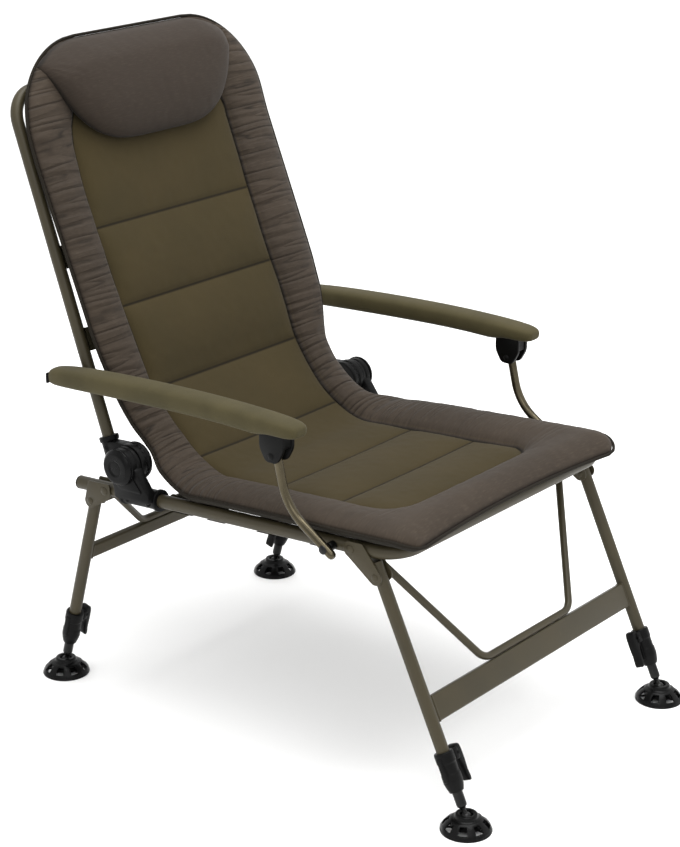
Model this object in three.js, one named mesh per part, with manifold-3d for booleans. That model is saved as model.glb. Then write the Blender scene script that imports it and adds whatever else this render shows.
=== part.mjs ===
// Reclining carp fishing chair with a quilted mattress, padded armrests and four telescopic legs.
// Millimetres, +Z up. The sitter faces -Y, so +X is the sitter's left.
import * as THREE from 'three';
import { mergeVertices } from 'three/addons/utils/BufferGeometryUtils.js';
import Module from 'manifold-3d';

const wasm = await Module();
wasm.setup();

// Fits
const touch = 0.3; // gap between pieces that bear on each other
const running = 0.4; // radial clearance of a pin in its hole
const overrun = 1; // how far a cutting tool runs past the surface

// Seat frame, a bent tube with open rear ends
const railSpacing = 544; // centre to centre
const railHeight = 382; // above the floor, at the middle of the rails
const railRise = 3.8; // degrees, the seat rises to the front
const railFront = 291; // front of the frame ahead of the middle
const railRear = 358; // rail ends behind the middle
const railRadius = 11;
const railWall = 1.5;
const railBend = 45;
const plugHead = 3;
const plugSpigot = 14;
const plugEdge = 1;
const crossTubeStation = 160; // behind the middle of the rails
const crossTubeRadius = 9;

// Back frame
const backLean = 19.9; // degrees behind upright at rest
const backInset = 6; // tube axis inboard of the rail's
const backHeight = 608; // hinge axis to the top bar
const backSetback = 43.7; // tube axis behind the hinge axis
const backRadius = 10;
const backWall = 1.5;
const backBend = 48;

// Recline hinge, a ratchet between two mouldings
const hingeStation = 236; // behind the middle of the rails
const hingeRise = 55; // above the rail axis
const hingeReach = 15.3; // inboard face, from the rail axis
const discRadius = 31;
const discThickness = 24;
const discBevel = 2;
const barrelRadius = 29;
const barrelThickness = 22;
const capRadius = 30;
const capThickness = 9;
const capBoss = 11;
const capRecess = 1.5;
const clampRadius = 16;
const clampFront = 178;
const clampRear = 258;
const clampRib = 6;
const ribHeight = 2;
const socketRadius = 14;
const socketBottom = 10;
const socketTop = 48;
const socketRib = 8;
const ratchetTeeth = 20;
const ratchetRadius = 22;
const toothDepth = 2.6;
const ratchetDepth = 12;
const ratchetPlay = 1.2;
const hingeBoltRadius = 5;
const hingeNutRadius = 9;
const hingeNut = 5;
const hingeWasherRadius = 11;
const hingeWasher = 1.5;

// Armrests and posts, a parallelogram with the back and the rails
const armStation = 150; // arm pivot above the hinge, along the back
const armStandoff = 30; // post axis outboard of the rail's
const armClearance = 12; // post axis outboard of the seat pad
const armRise = 3.1; // degrees, the armrest rises to the front
const coreRear = 38;
const coreWidth = 26;
const coreHeight = 14;
const coreWall = 2;
const sleeveLength = 514;
const sleeveRear = 46; // sleeve behind the arm pivot
const sleeveNose = 13; // padding ahead of the core
const sleeveWidth = 49;
const sleeveHeight = 30;
const blockWidth = 28;
const blockLength = 52;
const blockDrop = 10; // block below its pivot
const blockRound = 11;
const slotRise = 12; // slot above the pivot
const pocketPlay = 1;
const postStation = -181.4; // post pivot on the rail
const postRadius = 7;
const postWall = 1.5;
const postBend = 90;
const postTopLean = 13.4; // degrees off upright above the bend
const postTailRise = 32.8; // degrees off level below the bend
const postTail = 16; // past the rail pivot
const postHead = 6; // past the block pivot

// Pins, bolts and rivets
const pinRadius = 4;
const headRadius = 7;
const headThickness = 2.4;
const rivetRadius = 3;
const rivetHead = 6;
const slotPinRadius = 3;

// Leg frames. Each one swings on the rails by a pair of plates that hold the legs below the rail.
const legRadius = 10;
const legWall = 1.2;
const frontStation = -214; // swing axis on the rail
const frontLean = 25.4; // degrees ahead of upright
const frontOffset = 27.7; // leg axis ahead of the swing axis
const frontLegTop = 29; // top of the tube below the swing axis, along the leg
const frontBarDrop = 263;
const frontBarHeight = 40;
const frontBarThickness = 13;
const frontRivetDrop = 50;
const rearStation = 292;
const rearLean = 15.6; // degrees behind upright
const rearOffset = 25; // leg axis behind the swing axis
const rearLegTop = 25.5;
const rearBarDrop = 139.5;
const rearBarHeight = 26;
const rearBarThickness = 12;
const rearRivetDrop = 33;
const barWall = 1.5;
const plateThickness = 2.5;
const plateRound = 15;
const plateFoot = 12; // plate round the leg rivet
const plateTop = 12.5; // plate above the rail axis
const plateWeb = 20;
const braceRadius = 6;
const braceWall = 1.2;
const braceBend = 30;
const frontBraceSpread = 233; // between the lower bends of the front brace
const rearBraceSpread = 288;
const rearBraceTop = 9; // brace axis below the swing axis, where it meets the plate
const eyeThickness = 4;
const eyeRadius = 8.5;
const eyeLength = 24;

// Telescopic ends
const ballHeight = 20; // ball centre above the floor
const collarTop = 104; // above the ball, along the leg
const collarLength = 62;
const collarRadius = 15;
const collarStep = 1.5;
const tubeInCollar = 43;
const lugReach = 7;
const lugThickness = 3;
const lugHeight = 18;
const leverWidth = 12;
const leverKnuckle = 5.5;
const leverDrop = 10; // lever pivot below the collar's top
const leverGrip = 45;
const leverThickness = 4.5;
const innerLegRadius = 8;
const innerLegWall = 1.2;
const innerLegLength = 190;
const innerLegStart = 20; // above the ball
const legPlug = 8;
const stemRadius = 3.5;
const stemTaper = 4;
const ballRadius = 9;

// Mud feet
const footRadius = 39.5;
const footEdge = 3;
const footRim = 6;
const footShell = 3.5;
const footWindows = 8;
const windowWidth = 10;
const cupRadius = 17;
const cupRise = 8; // cup rim above the ball centre
const cupLip = 2.5;
const cupFlare = 2;
const cupPlay = 0.6; // round the ball

// Mattress
const padThickness = 30;
const padRound = 17; // how far in from the rim the edge is drawn
const seatPadFront = 313;
const seatPadRear = 98;
const seatPadWidth = 580;
const seatPadCorner = 46;
const seatPadDroop = 11;
const seatPadBow = 14; // front corners ahead of the front's middle
const seatPadBowLength = 80; // back from the front, where the bow has gone
const seatSag = 6;
const backPadWidth = 552;
const backPadBottom = 131; // above the hinge axis, along the mattress
const backPadTop = 677;
const headCornerWidth = 126;
const headCornerHeight = 112;
const padLean = 2.9; // degrees, the mattress leans back of the tube
const padBackFace = 2.3; // back face of the mattress behind the hinge axis
const creaseWidth = 552;
const creaseSag = 5;
const backPadWaist = 22; // each side, at the bottom of the back
const backPadWaistTop = 200; // above the hinge axis, where the waist has gone
const creaseSeatPull = 55;
const creaseBackPull = 80;
const seatSeams = [-225, -108, 20];
const backSeams = [239, 370, 501];
const creaseSeamShares = [0.27, 0.87];
const creaseWaistShares = [[0, 1], [0.13, 0.99], [0.25, 0.8], [0.75, 0.8], [0.9, 0.87], [1, 0.92]];
const seamSpread = 376; // between the two long seams
const seamWidth = 9;
const seamEase = 14.4; // from a sewn line to the full height beside it
const seamDepth = 7;
const panelDepth = 12; // quilted panel below the border round it
const panelTop = 615; // end of the panel under the pillow, along the mattress
const pillowWidth = 428;
const pillowBottom = 493;
const pillowTop = 668;
const pillowThickness = 40;
const pillowLift = 130; // rise of the lower edge at its ends

// Webbing under the mattress
const strapWidth = 38;
const strapThickness = 1.6;
const strapBend = 60; // where a strap leaves its tube's level
const longStrapSpread = 220;
const seatStraps = [-145, -40, 62, 130];
const backStraps = [205, 340, 480];
const loopSides = 10;

const radians = THREE.MathUtils.degToRad;
const railHalf = railSpacing / 2;
const backHalf = railHalf - backInset;
const armHalf = Math.max(railHalf + armStandoff, seatPadWidth / 2 + armClearance);
const hingeInner = railHalf - hingeReach;
const coreFront = sleeveLength - sleeveRear - sleeveNose;

// Finishes
const finish = (color, roughness, metalness) => () =>
  new THREE.MeshStandardMaterial({ color, roughness, metalness });
const olivePaint = finish(0x4a4836, 0.5, 0.35);
const blackPlastic = finish(0x141413, 0.55, 0);
const bareSteel = finish(0x77746a, 0.3, 0.95);
const blackSteel = finish(0x1b1b1a, 0.45, 0.7);
const greyFabric = finish(0x4a4239, 0.9, 0);
const oliveFabric = finish(0x47412b, 0.9, 0);
const sleeveFabric = finish(0x645c45, 0.85, 0);
const webbingFabric = finish(0x1d1c19, 0.9, 0);

// Joining and cutting
function solidOf(geometry) {
  const bare = geometry.clone();
  for (const name of Object.keys(bare.attributes)) if (name !== 'position') bare.deleteAttribute(name);
  const merged = mergeVertices(bare, 1e-4);
  return new wasm.Manifold(new wasm.Mesh({
    numProp: 3,
    vertProperties: new Float32Array(merged.attributes.position.array),
    triVerts: new Uint32Array(merged.index.array),
  }));
}

function geometryOf(solid) {
  const mesh = solid.getMesh();
  const count = mesh.vertProperties.length / mesh.numProp;
  const points = new Float32Array(count * 3);
  for (let i = 0; i < count; i++) {
    for (let k = 0; k < 3; k++) points[i * 3 + k] = mesh.vertProperties[i * mesh.numProp + k];
  }
  const geometry = new THREE.BufferGeometry();
  geometry.setAttribute('position', new THREE.BufferAttribute(points, 3));
  geometry.setIndex(new THREE.BufferAttribute(new Uint32Array(mesh.triVerts), 1));
  return geometry;
}

function joined(...geometries) {
  return geometryOf(geometries.map(solidOf).reduce((whole, piece) => whole.add(piece)));
}

function cut(geometry, ...tools) {
  return geometryOf(tools.map(solidOf).reduce((whole, tool) => whole.subtract(tool), solidOf(geometry)));
}

function flipFaces(geometry) {
  const index = geometry.index.array;
  for (let i = 0; i < index.length; i += 3) [index[i + 1], index[i + 2]] = [index[i + 2], index[i + 1]];
}

// Turns a closed geometry the right way out
function outward(geometry) {
  const bare = geometry.clone();
  for (const name of Object.keys(bare.attributes)) if (name !== 'position') bare.deleteAttribute(name);
  const whole = mergeVertices(bare);
  const place = whole.attributes.position;
  const index = whole.index.array;
  const [a, b, c] = [new THREE.Vector3(), new THREE.Vector3(), new THREE.Vector3()];
  let volume = 0;
  for (let i = 0; i < index.length; i += 3) {
    a.fromBufferAttribute(place, index[i]);
    b.fromBufferAttribute(place, index[i + 1]);
    c.fromBufferAttribute(place, index[i + 2]);
    volume += a.dot(b.cross(c));
  }
  if (volume < 0) flipFaces(whole);
  return whole;
}

function mirrored(geometry) {
  const copy = geometry.index ? geometry.clone() : mergeVertices(geometry.clone());
  copy.scale(-1, 1, 1);
  flipFaces(copy);
  return copy;
}

// Round bars, rings and plates
function barAlongX(radius, from, to, y, z, sides = 10) {
  return new THREE.CylinderGeometry(radius, radius, to - from, sides)
    .rotateZ(Math.PI / 2).translate((from + to) / 2, y, z);
}

function barAlongY(radius, from, to, x, z, sides = 14) {
  return new THREE.CylinderGeometry(radius, radius, to - from, sides).translate(x, (from + to) / 2, z);
}

function barAlongZ(radius, from, to, x, y, sides = 14) {
  return new THREE.CylinderGeometry(radius, radius, to - from, sides)
    .rotateX(Math.PI / 2).translate(x, y, (from + to) / 2);
}

// A pin hole right across one tube, its flats at the radius given
function pinHole(radius, middle, reach, y, z) {
  const sides = 6;
  return barAlongX(radius / Math.cos(Math.PI / sides), middle - reach, middle + reach, y, z, sides);
}

function box(fromX, toX, fromY, toY, fromZ, toZ) {
  return new THREE.BoxGeometry(toX - fromX, toY - fromY, toZ - fromZ)
    .translate((fromX + toX) / 2, (fromY + toY) / 2, (fromZ + toZ) / 2);
}

// A profile of [radius, height] points turned round +Z
function turned(profile, sides = 16) {
  const points = profile.map(([radius, height]) => new THREE.Vector2(radius, height));
  return outward(new THREE.LatheGeometry(points, sides).rotateX(Math.PI / 2));
}

// The same turned round +X
function turnedAcross(profile, sides = 16) {
  return turned(profile, sides).rotateY(Math.PI / 2);
}

function outline(points) {
  return new THREE.Shape(points.map(([x, y]) => new THREE.Vector2(x, y)));
}

// A plate drawn in y and z, with its thickness from one x to the other
function sidePlate(shape, fromX, toX) {
  const plate = new THREE.ExtrudeGeometry(shape, { depth: toX - fromX, bevelEnabled: false, curveSegments: 3 });
  return plate.applyMatrix4(new THREE.Matrix4().set(0, 0, 1, fromX, 1, 0, 0, 0, 0, 1, 0, 0, 0, 0, 0, 1));
}

// Tubes. The path is sampled at its own knots, so straight runs stay single facets.
class KnotPath extends THREE.Curve {
  constructor(knots, tangents) {
    super();
    this.knots = knots;
    this.tangents = tangents;
  }
  getPointAt(u, target = new THREE.Vector3()) {
    return target.copy(this.knots[Math.round(u * (this.knots.length - 1))]);
  }
  getTangentAt(u, target = new THREE.Vector3()) {
    return target.copy(this.tangents[Math.round(u * (this.knots.length - 1))]);
  }
}

function circlePoints(radius, sides) {
  return Array.from({ length: sides }, (_, i) => {
    const turn = (i / sides) * 2 * Math.PI;
    return new THREE.Vector2(radius * Math.cos(turn), radius * Math.sin(turn));
  });
}

function ringSection(outer, wall, sides) {
  const shape = new THREE.Shape(circlePoints(outer, sides));
  shape.holes.push(new THREE.Path(circlePoints(outer - wall, sides)));
  return shape;
}

// A tube through corner points, each corner rounded by the bend radius
function bentTube(corners, bend, radius, wall, sides = 12, bendSteps = 4) {
  const points = corners.map((corner) => new THREE.Vector3(...corner));
  const knots = [];
  const tangents = [];
  points.forEach((point, i) => {
    const last = i === points.length - 1;
    const before = i === 0 ? null : point.clone().sub(points[i - 1]).normalize();
    const after = last ? null : points[i + 1].clone().sub(point).normalize();
    if (!before || !after) {
      knots.push(point);
      tangents.push(before ?? after);
      return;
    }
    const turn = before.angleTo(after);
    const start = point.clone().addScaledVector(before, -bend * Math.tan(turn / 2));
    const inward = after.clone().addScaledVector(before, -after.dot(before)).normalize();
    for (let step = 0; step <= bendSteps; step++) {
      const angle = (turn * step) / bendSteps;
      knots.push(start.clone().addScaledVector(before, bend * Math.sin(angle))
        .addScaledVector(inward, bend * (1 - Math.cos(angle))));
      tangents.push(before.clone().multiplyScalar(Math.cos(angle)).addScaledVector(inward, Math.sin(angle)));
    }
  });
  return outward(new THREE.ExtrudeGeometry(ringSection(radius, wall, sides), {
    steps: knots.length - 1, extrudePath: new KnotPath(knots, tangents),
  }));
}

// A skin through rings, each a list of [x, y, z] with the same count
function loft(rings) {
  const sides = rings[0].length;
  const index = [];
  for (let r = 0; r < rings.length - 1; r++) {
    for (let i = 0; i < sides; i++) {
      const [a, b] = [r * sides + i, r * sides + ((i + 1) % sides)];
      index.push(a, b, b + sides, a, b + sides, a + sides);
    }
  }
  for (const [ring, flip] of [[0, true], [rings.length - 1, false]]) {
    for (let i = 1; i < sides - 1; i++) {
      const fan = [ring * sides, ring * sides + i, ring * sides + i + 1];
      index.push(...(flip ? fan.reverse() : fan));
    }
  }
  return indexed(rings.flat(2), index);
}

function indexed(places, index) {
  const geometry = new THREE.BufferGeometry();
  geometry.setAttribute('position', new THREE.Float32BufferAttribute(places, 3));
  geometry.setIndex(index);
  return outward(geometry);
}

// A padded form: full in the middle and drawn in to a seam round its rim.
// surface(x, t, h) is the place x across, t along and h off the middle surface.
function paddedForm({ columns, rows, halfWidth, rise, drop, surface }) {
  const [start, end] = [rows[0], rows[rows.length - 1]];
  const widest = columns[columns.length - 1];
  const places = [];
  for (const side of [1, -1]) {
    for (const t of rows) {
      for (const column of columns) {
        const x = (column / widest) * halfWidth(t);
        const inset = Math.min(halfWidth(t) - Math.abs(x), t - start, end - t);
        const fullness = Math.sqrt(Math.max(0, 1 - (1 - Math.min(inset / padRound, 1)) ** 2));
        places.push(...surface(x, t, fullness * (side > 0 ? rise(x, t) : -drop)).toArray());
      }
    }
  }
  const across = columns.length;
  const index = [];
  for (const [layer, flip] of [[0, false], [1, true]]) {
    for (let j = 0; j < rows.length - 1; j++) {
      for (let i = 0; i < across - 1; i++) {
        const a = layer * rows.length * across + j * across + i;
        const [b, c, d] = [a + 1, a + across + 1, a + across];
        const rising = (i < (across - 1) / 2) === (j < (rows.length - 1) / 2);
        for (const face of rising ? [[a, b, c], [a, c, d]] : [[a, b, d], [b, c, d]]) {
          index.push(...(flip ? face.reverse() : face));
        }
      }
    }
  }
  return indexed(places, index);
}

// Lines of the padded form: close together at its rim and its seams
const rimShares = [0, 0.12, 0.5, 1];

function rowLines(from, to, seams) {
  const sewn = seams.flatMap((seam) => [seam - seamEase, seam, seam + seamEase]);
  const middles = seams.slice(1).map((seam, i) => (seam + seams[i]) / 2);
  const rims = rimShares.flatMap((share) => [from + share * padRound, to - share * padRound]);
  return [...rims, ...sewn, ...middles].sort((a, b) => a - b);
}

function columnLines(half) {
  const seam = seamSpread / 2;
  const rims = rimShares.map((share) => half - share * padRound);
  const lines = [seam - seamEase, seam, seam + seamEase, ...rims];
  return [...lines.map((line) => -line), 0, ...lines].sort((a, b) => a - b);
}

// The quilted panel between the borders: its lower level, and the dips of its sewn lines
function quilting(x, t, seams, from, to) {
  const dip = (distance) => Math.exp(-((distance / seamWidth) ** 2));
  const side = seamSpread / 2 - Math.abs(x);
  const panel = Math.min(1, Math.max(0, 1 + Math.min(side, t - from, to - t) / seamEase));
  const cross = Math.max(...seams.map((seam) => dip(t - seam))) * panel;
  const long = t > from && t < to ? dip(side) : 0;
  return panelDepth * panel + seamDepth * Math.max(cross, long);
}

// The chair and its frames of reference
const chair = new THREE.Group();

function frameAt(y, z, lean) {
  const group = new THREE.Group();
  group.position.set(0, y, z);
  group.rotation.x = radians(lean);
  chair.add(group);
  return group;
}

function addPiece(name, geometry, material, group) {
  const mesh = new THREE.Mesh(geometry, material());
  mesh.name = name;
  group.add(mesh);
}

function addPair(name, geometry, material, group) {
  addPiece(`${name}_left`, geometry, material, group);
  addPiece(`${name}_right`, mirrored(geometry), material, group);
}

// A place given along the rail and above it, in the chair's own y and z
function railPlace(station, rise) {
  const slope = radians(railRise);
  return [
    station * Math.cos(slope) + rise * Math.sin(slope),
    railHeight - station * Math.sin(slope) + rise * Math.cos(slope),
  ];
}

const [hingeY, hingeZ] = railPlace(hingeStation, hingeRise);
const [postY, postZ] = railPlace(postStation, 0);
const backAngle = radians(backLean);

// From the hinge to the arm pivot, and so from the rail pivot to the post's top
const linkY = armStation * Math.sin(backAngle) + backSetback * Math.cos(backAngle);
const linkZ = armStation * Math.cos(backAngle) - backSetback * Math.sin(backAngle);
const blockY = postY - hingeY; // block pivot from the arm pivot
const blockZ = postZ - hingeZ;

const seat = frameAt(0, railHeight, -railRise);
const back = frameAt(hingeY, hingeZ, -backLean);
const mattress = frameAt(hingeY, hingeZ, -backLean - padLean);
const arms = frameAt(hingeY + linkY, hingeZ + linkZ, 0);
const posts = frameAt(postY, postZ, 0);

// Places across the chair
const discOuter = hingeInner + discThickness;
const barrelInner = discOuter + touch;
const barrelOuter = barrelInner + barrelThickness;
const cheekInner = railRadius + touch; // from the rail's middle line
const cheekOuter = cheekInner + plateThickness;
const footGap = legRadius + touch;

function seatTube() {
  const tube = bentTube([
    [railHalf, railRear, 0], [railHalf, -railFront, 0], [-railHalf, -railFront, 0], [-railHalf, railRear, 0],
  ], railBend, railRadius, railWall);
  const holes = [postStation, frontStation, rearStation].flatMap((station) =>
    [railHalf, -railHalf].map((x) => pinHole(pinRadius + running, x, railRadius + overrun, station, 0)));
  return cut(tube, ...holes);
}

function railPlug() {
  const bore = railRadius - railWall - touch;
  return turned([[0, -plugSpigot], [bore, -plugSpigot], [bore, touch], [railRadius, touch],
    [railRadius, plugHead - plugEdge], [railRadius - plugEdge, plugHead], [0, plugHead]], 12)
    .rotateX(-Math.PI / 2).translate(railHalf, railRear, 0);
}

function rearCrossTube() {
  const reach = railHalf - railRadius - touch;
  return bentTube([[-reach, crossTubeStation, 0], [reach, crossTubeStation, 0]],
    railBend, crossTubeRadius, railWall, 12);
}

// Barrel with a ratchet pocket, web and rail clamp, all one moulding
function hingeHousing() {
  const barrel = turnedAcross([[0, 0], [barrelRadius, 0], [barrelRadius, barrelThickness - discBevel],
    [barrelRadius - discBevel, barrelThickness], [0, barrelThickness]])
    .translate(barrelInner, hingeStation, hingeRise);
  const web = sidePlate(outline([
    [hingeStation - barrelRadius, hingeRise], [clampFront, clampRadius - ribHeight],
    [clampFront, 0], [clampRear, 0], [clampRear, clampRadius - ribHeight],
    [hingeStation + barrelRadius * 0.9, hingeRise - barrelRadius * 0.4],
  ]), barrelInner, barrelOuter - discBevel * 2);
  const clamp = barAlongY(clampRadius, clampFront, clampRear, railHalf, 0);
  const rib = barAlongY(clampRadius + ribHeight, clampFront, clampFront + clampRib, railHalf, 0);
  const pocket = barAlongX(ratchetRadius + ratchetPlay, barrelInner - overrun, barrelInner + ratchetDepth + touch,
    hingeStation, hingeRise, 16);
  const bore = barAlongY(railRadius + touch, clampFront - overrun, clampRear + overrun, railHalf, 0);
  const boltHole = pinHole(hingeBoltRadius + running, barrelInner, barrelThickness + overrun, hingeStation, hingeRise);
  const discRoom = barAlongX(discRadius + overrun, hingeInner - clampRadius, barrelInner, hingeStation, hingeRise, 16);
  return cut(joined(barrel, web, clamp, rib), pocket, bore, boltHole, discRoom);
}

function hingeCap() {
  return turnedAcross([[0, 0], [capRadius, 0], [capRadius, capThickness / 2], [capRadius * 0.8, capThickness],
    [capBoss + capRecess, capThickness], [capBoss, capThickness - capRecess], [0, capThickness - capRecess]])
    .translate(barrelOuter + touch, hingeStation, hingeRise);
}

function hingeBolt() {
  const washerInner = hingeInner - touch - hingeWasher;
  return joined(
    barAlongX(hingeBoltRadius, washerInner, barrelOuter, hingeStation, hingeRise),
    barAlongX(hingeWasherRadius, washerInner, hingeInner - touch, hingeStation, hingeRise),
    barAlongX(hingeNutRadius, washerInner - hingeNut, washerInner, hingeStation, hingeRise, 6),
  );
}

// Shouldered bolt that holds a post off the rail
function postBolt() {
  const railInner = railHalf - railRadius - touch;
  const postOuter = armHalf + postRadius + touch;
  return joined(
    barAlongX(pinRadius, railInner, postOuter + headThickness, 0, 0),
    barAlongX(headRadius, railInner - headThickness, railInner, 0, 0, 6),
    barAlongX(headRadius, railHalf + railRadius + touch, armHalf - postRadius - touch, 0, 0),
    barAlongX(headRadius, postOuter, postOuter + headThickness, 0, 0),
  );
}

// Straps looped round a pair of tubes, tied by two long straps. Drawn in x and z, stations along y.
function webbing(stations, half, tubeRadius, liftAt) {
  const inner = (tubeRadius + touch) / Math.cos(Math.PI / loopSides);
  const outer = inner + strapThickness;
  const start = Math.asin(inner / outer);
  const loop = Array.from({ length: loopSides - 2 }, (_, i) => {
    const turn = Math.PI / 2 - ((Math.PI * 2 - (Math.PI / 2 - start)) * i) / (loopSides - 3);
    return [half + outer * Math.cos(turn), outer * Math.sin(turn)];
  });
  const bands = stations.map((station) => {
    const lift = liftAt(station);
    const level = half - strapBend;
    const shape = outline([
      ...loop, [level, inner + lift], [-level, inner + lift],
      ...[...loop].reverse().map(([x, z]) => [-x, z]), [-level, outer + lift], [level, outer + lift],
    ]);
    for (const x of [half, -half]) {
      shape.holes.push(new THREE.Path(circlePoints(inner, loopSides).map((point) => point.add(new THREE.Vector2(x, 0)))));
    }
    return new THREE.ExtrudeGeometry(shape, { depth: strapWidth, bevelEnabled: false })
      .rotateX(Math.PI / 2).translate(0, station + strapWidth / 2, 0);
  });
  const ends = [stations[0] - strapWidth / 2, stations[stations.length - 1] + strapWidth / 2];
  const knots = stations.map((station, i) => [
    i === 0 ? ends[0] : i === stations.length - 1 ? ends[1] : station, inner + liftAt(station)]);
  const long = [...knots, ...[...knots].reverse().map(([station, z]) => [station, z + strapThickness])];
  const longStraps = [1, -1].map((side) => sidePlate(outline(long),
    (side * longStrapSpread - strapWidth) / 2, (side * longStrapSpread + strapWidth) / 2));
  return joined(...bands, ...longStraps);
}

// Seat half of the mattress
const strapTop = (tubeRadius) => (tubeRadius + touch) / Math.cos(Math.PI / loopSides) + strapThickness + touch;
const padLower = padThickness * 0.45; // padding below the rim seam
const padUpper = padThickness - padLower;

function seatPad() {
  const half = seatPadWidth / 2;
  return paddedForm({
    columns: columnLines(half),
    rows: rowLines(-seatPadFront, seatPadRear, seatSeams),
    halfWidth: (t) => {
      const inset = Math.min(seatPadCorner, t + seatPadFront);
      return half - seatPadCorner + Math.sqrt(seatPadCorner ** 2 - (seatPadCorner - inset) ** 2);
    },
    rise: (x, t) => padUpper - quilting(x, t, seatSeams, seatSeams[0], Infinity)
      - seatSag * (1 - (x / half) ** 2),
    drop: padLower,
    surface: (x, t, h) => {
      const overhang = Math.max(0, 1 - (t + seatPadFront) / padRound);
      const bow = seatPadBow * (x / half) ** 2 * Math.max(0, 1 - (t + seatPadFront) / seatPadBowLength);
      return new THREE.Vector3(x, t - bow, strapTop(railRadius) + padLower + h - overhang * seatPadDroop);
    },
  });
}

// Back half of the mattress, with a rounded head
function backPad() {
  const half = backPadWidth / 2;
  const cornerRowShares = [0.3, 0.65];
  const cornerRows = cornerRowShares.map((share) => backPadTop - headCornerHeight * share);
  return paddedForm({
    columns: columnLines(half),
    rows: [...rowLines(backPadBottom, backPadTop, backSeams), ...cornerRows].sort((a, b) => a - b),
    halfWidth: (t) => {
      const above = Math.max(0, 1 - (backPadTop - t) / headCornerHeight);
      const low = Math.max(0, (backPadWaistTop - t) / (backPadWaistTop - backPadBottom));
      return half - headCornerWidth + headCornerWidth * Math.sqrt(1 - above ** 2) - backPadWaist * low;
    },
    rise: (x, t) => padUpper - quilting(x, t, backSeams, -Infinity, panelTop),
    drop: padLower,
    surface: (x, t, h) => new THREE.Vector3(x, padBackFace - padLower - h, t),
  });
}

// The share that a table of places and shares gives at a place
function shareAt(table, place) {
  const next = Math.max(1, table.findIndex(([end]) => end >= place));
  const [[from, low], [to, high]] = [table[next - 1], table[next]];
  return low + ((high - low) * (place - from)) / (to - from);
}

// The crease where the mattress turns from the back into the seat, drawn in between the hinges
function creasePad() {
  const [startY, startZ] = railPlace(seatPadRear + touch * 2, strapTop(railRadius) + padLower);
  const tilt = radians(backLean + padLean);
  const [endSet, endUp] = [padBackFace - padLower, backPadBottom - touch * 2];
  const end = new THREE.Vector2(hingeY + endUp * Math.sin(tilt) + endSet * Math.cos(tilt),
    hingeZ + endUp * Math.cos(tilt) - endSet * Math.sin(tilt));
  const slope = radians(railRise);
  const curve = new THREE.CubicBezierCurve(
    new THREE.Vector2(startY, startZ),
    new THREE.Vector2(startY + creaseSeatPull * Math.cos(slope), startZ - creaseSeatPull * Math.sin(slope)),
    new THREE.Vector2(end.x - creaseBackPull * Math.sin(tilt), end.y - creaseBackPull * Math.cos(tilt)), end);
  const length = curve.getLength();
  const seams = creaseSeamShares.map((share) => share * length);
  return paddedForm({
    columns: columnLines(creaseWidth / 2),
    rows: rowLines(0, length, seams),
    halfWidth: (t) => (creaseWidth / 2) * shareAt(creaseWaistShares, t / length),
    rise: (x, t) => padUpper - quilting(x, t, seams, -Infinity, Infinity) - creaseSag * (1 - (2 * x / creaseWidth) ** 2),
    drop: padLower,
    surface: (x, t, h) => {
      const share = Math.min(1, Math.max(0, t / length));
      const place = curve.getPointAt(share);
      const heading = curve.getTangentAt(share);
      return new THREE.Vector3(x, place.x - heading.y * h, place.y + heading.x * h);
    },
  });
}

// Head pillow with a lower edge that hangs down in the middle
function headPillow() {
  const half = pillowWidth / 2;
  const length = pillowTop - pillowBottom;
  const rowShares = [0, 0.015, 0.06, 0.15, 0.4, 0.7, 0.9, 0.975, 1];
  const middleShares = [-0.58, -0.3, 0.3, 0.58];
  return paddedForm({
    columns: [...columnLines(half), ...middleShares.map((share) => share * half)].sort((a, b) => a - b),
    rows: rowShares.map((share) => share * length),
    halfWidth: (t) => half * Math.sqrt(1 - 0.35 * Math.max(0, (t / length - 0.45) / 0.55) ** 2),
    rise: (x, t) => pillowThickness * (0.45 + 0.55 * Math.sin(Math.PI * (0.15 + (0.7 * t) / length)))
      * (1 - 0.45 * (x / half) ** 2),
    drop: 0,
    surface: (x, t, h) => {
      const lift = pillowLift * Math.abs(x / half) ** 3.6 * (1 - t / length);
      return new THREE.Vector3(x, padBackFace - padThickness - touch * 2 - h, pillowBottom + t + lift);
    },
  });
}

function backTube() {
  const bottom = socketBottom + discBevel;
  const tube = bentTube([
    [backHalf, backSetback, bottom], [backHalf, backSetback, backHeight],
    [-backHalf, backSetback, backHeight], [-backHalf, backSetback, bottom],
  ], backBend, backRadius, backWall);
  const holes = [backHalf, -backHalf].map((x) =>
    pinHole(pinRadius + running, x, backRadius + overrun, backSetback, armStation));
  return cut(tube, ...holes);
}

// Saw teeth round the recline axis
function ratchetHub(from, to) {
  const rootRadius = ratchetRadius - toothDepth;
  const points = Array.from({ length: ratchetTeeth }, (_, tooth) => tooth).flatMap((tooth) =>
    [[0, rootRadius], [0.2, ratchetRadius]].map(([share, radius]) => {
      const turn = ((tooth + share) / ratchetTeeth) * 2 * Math.PI;
      return [radius * Math.cos(turn), radius * Math.sin(turn)];
    }));
  return sidePlate(outline(points), from, to);
}

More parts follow.
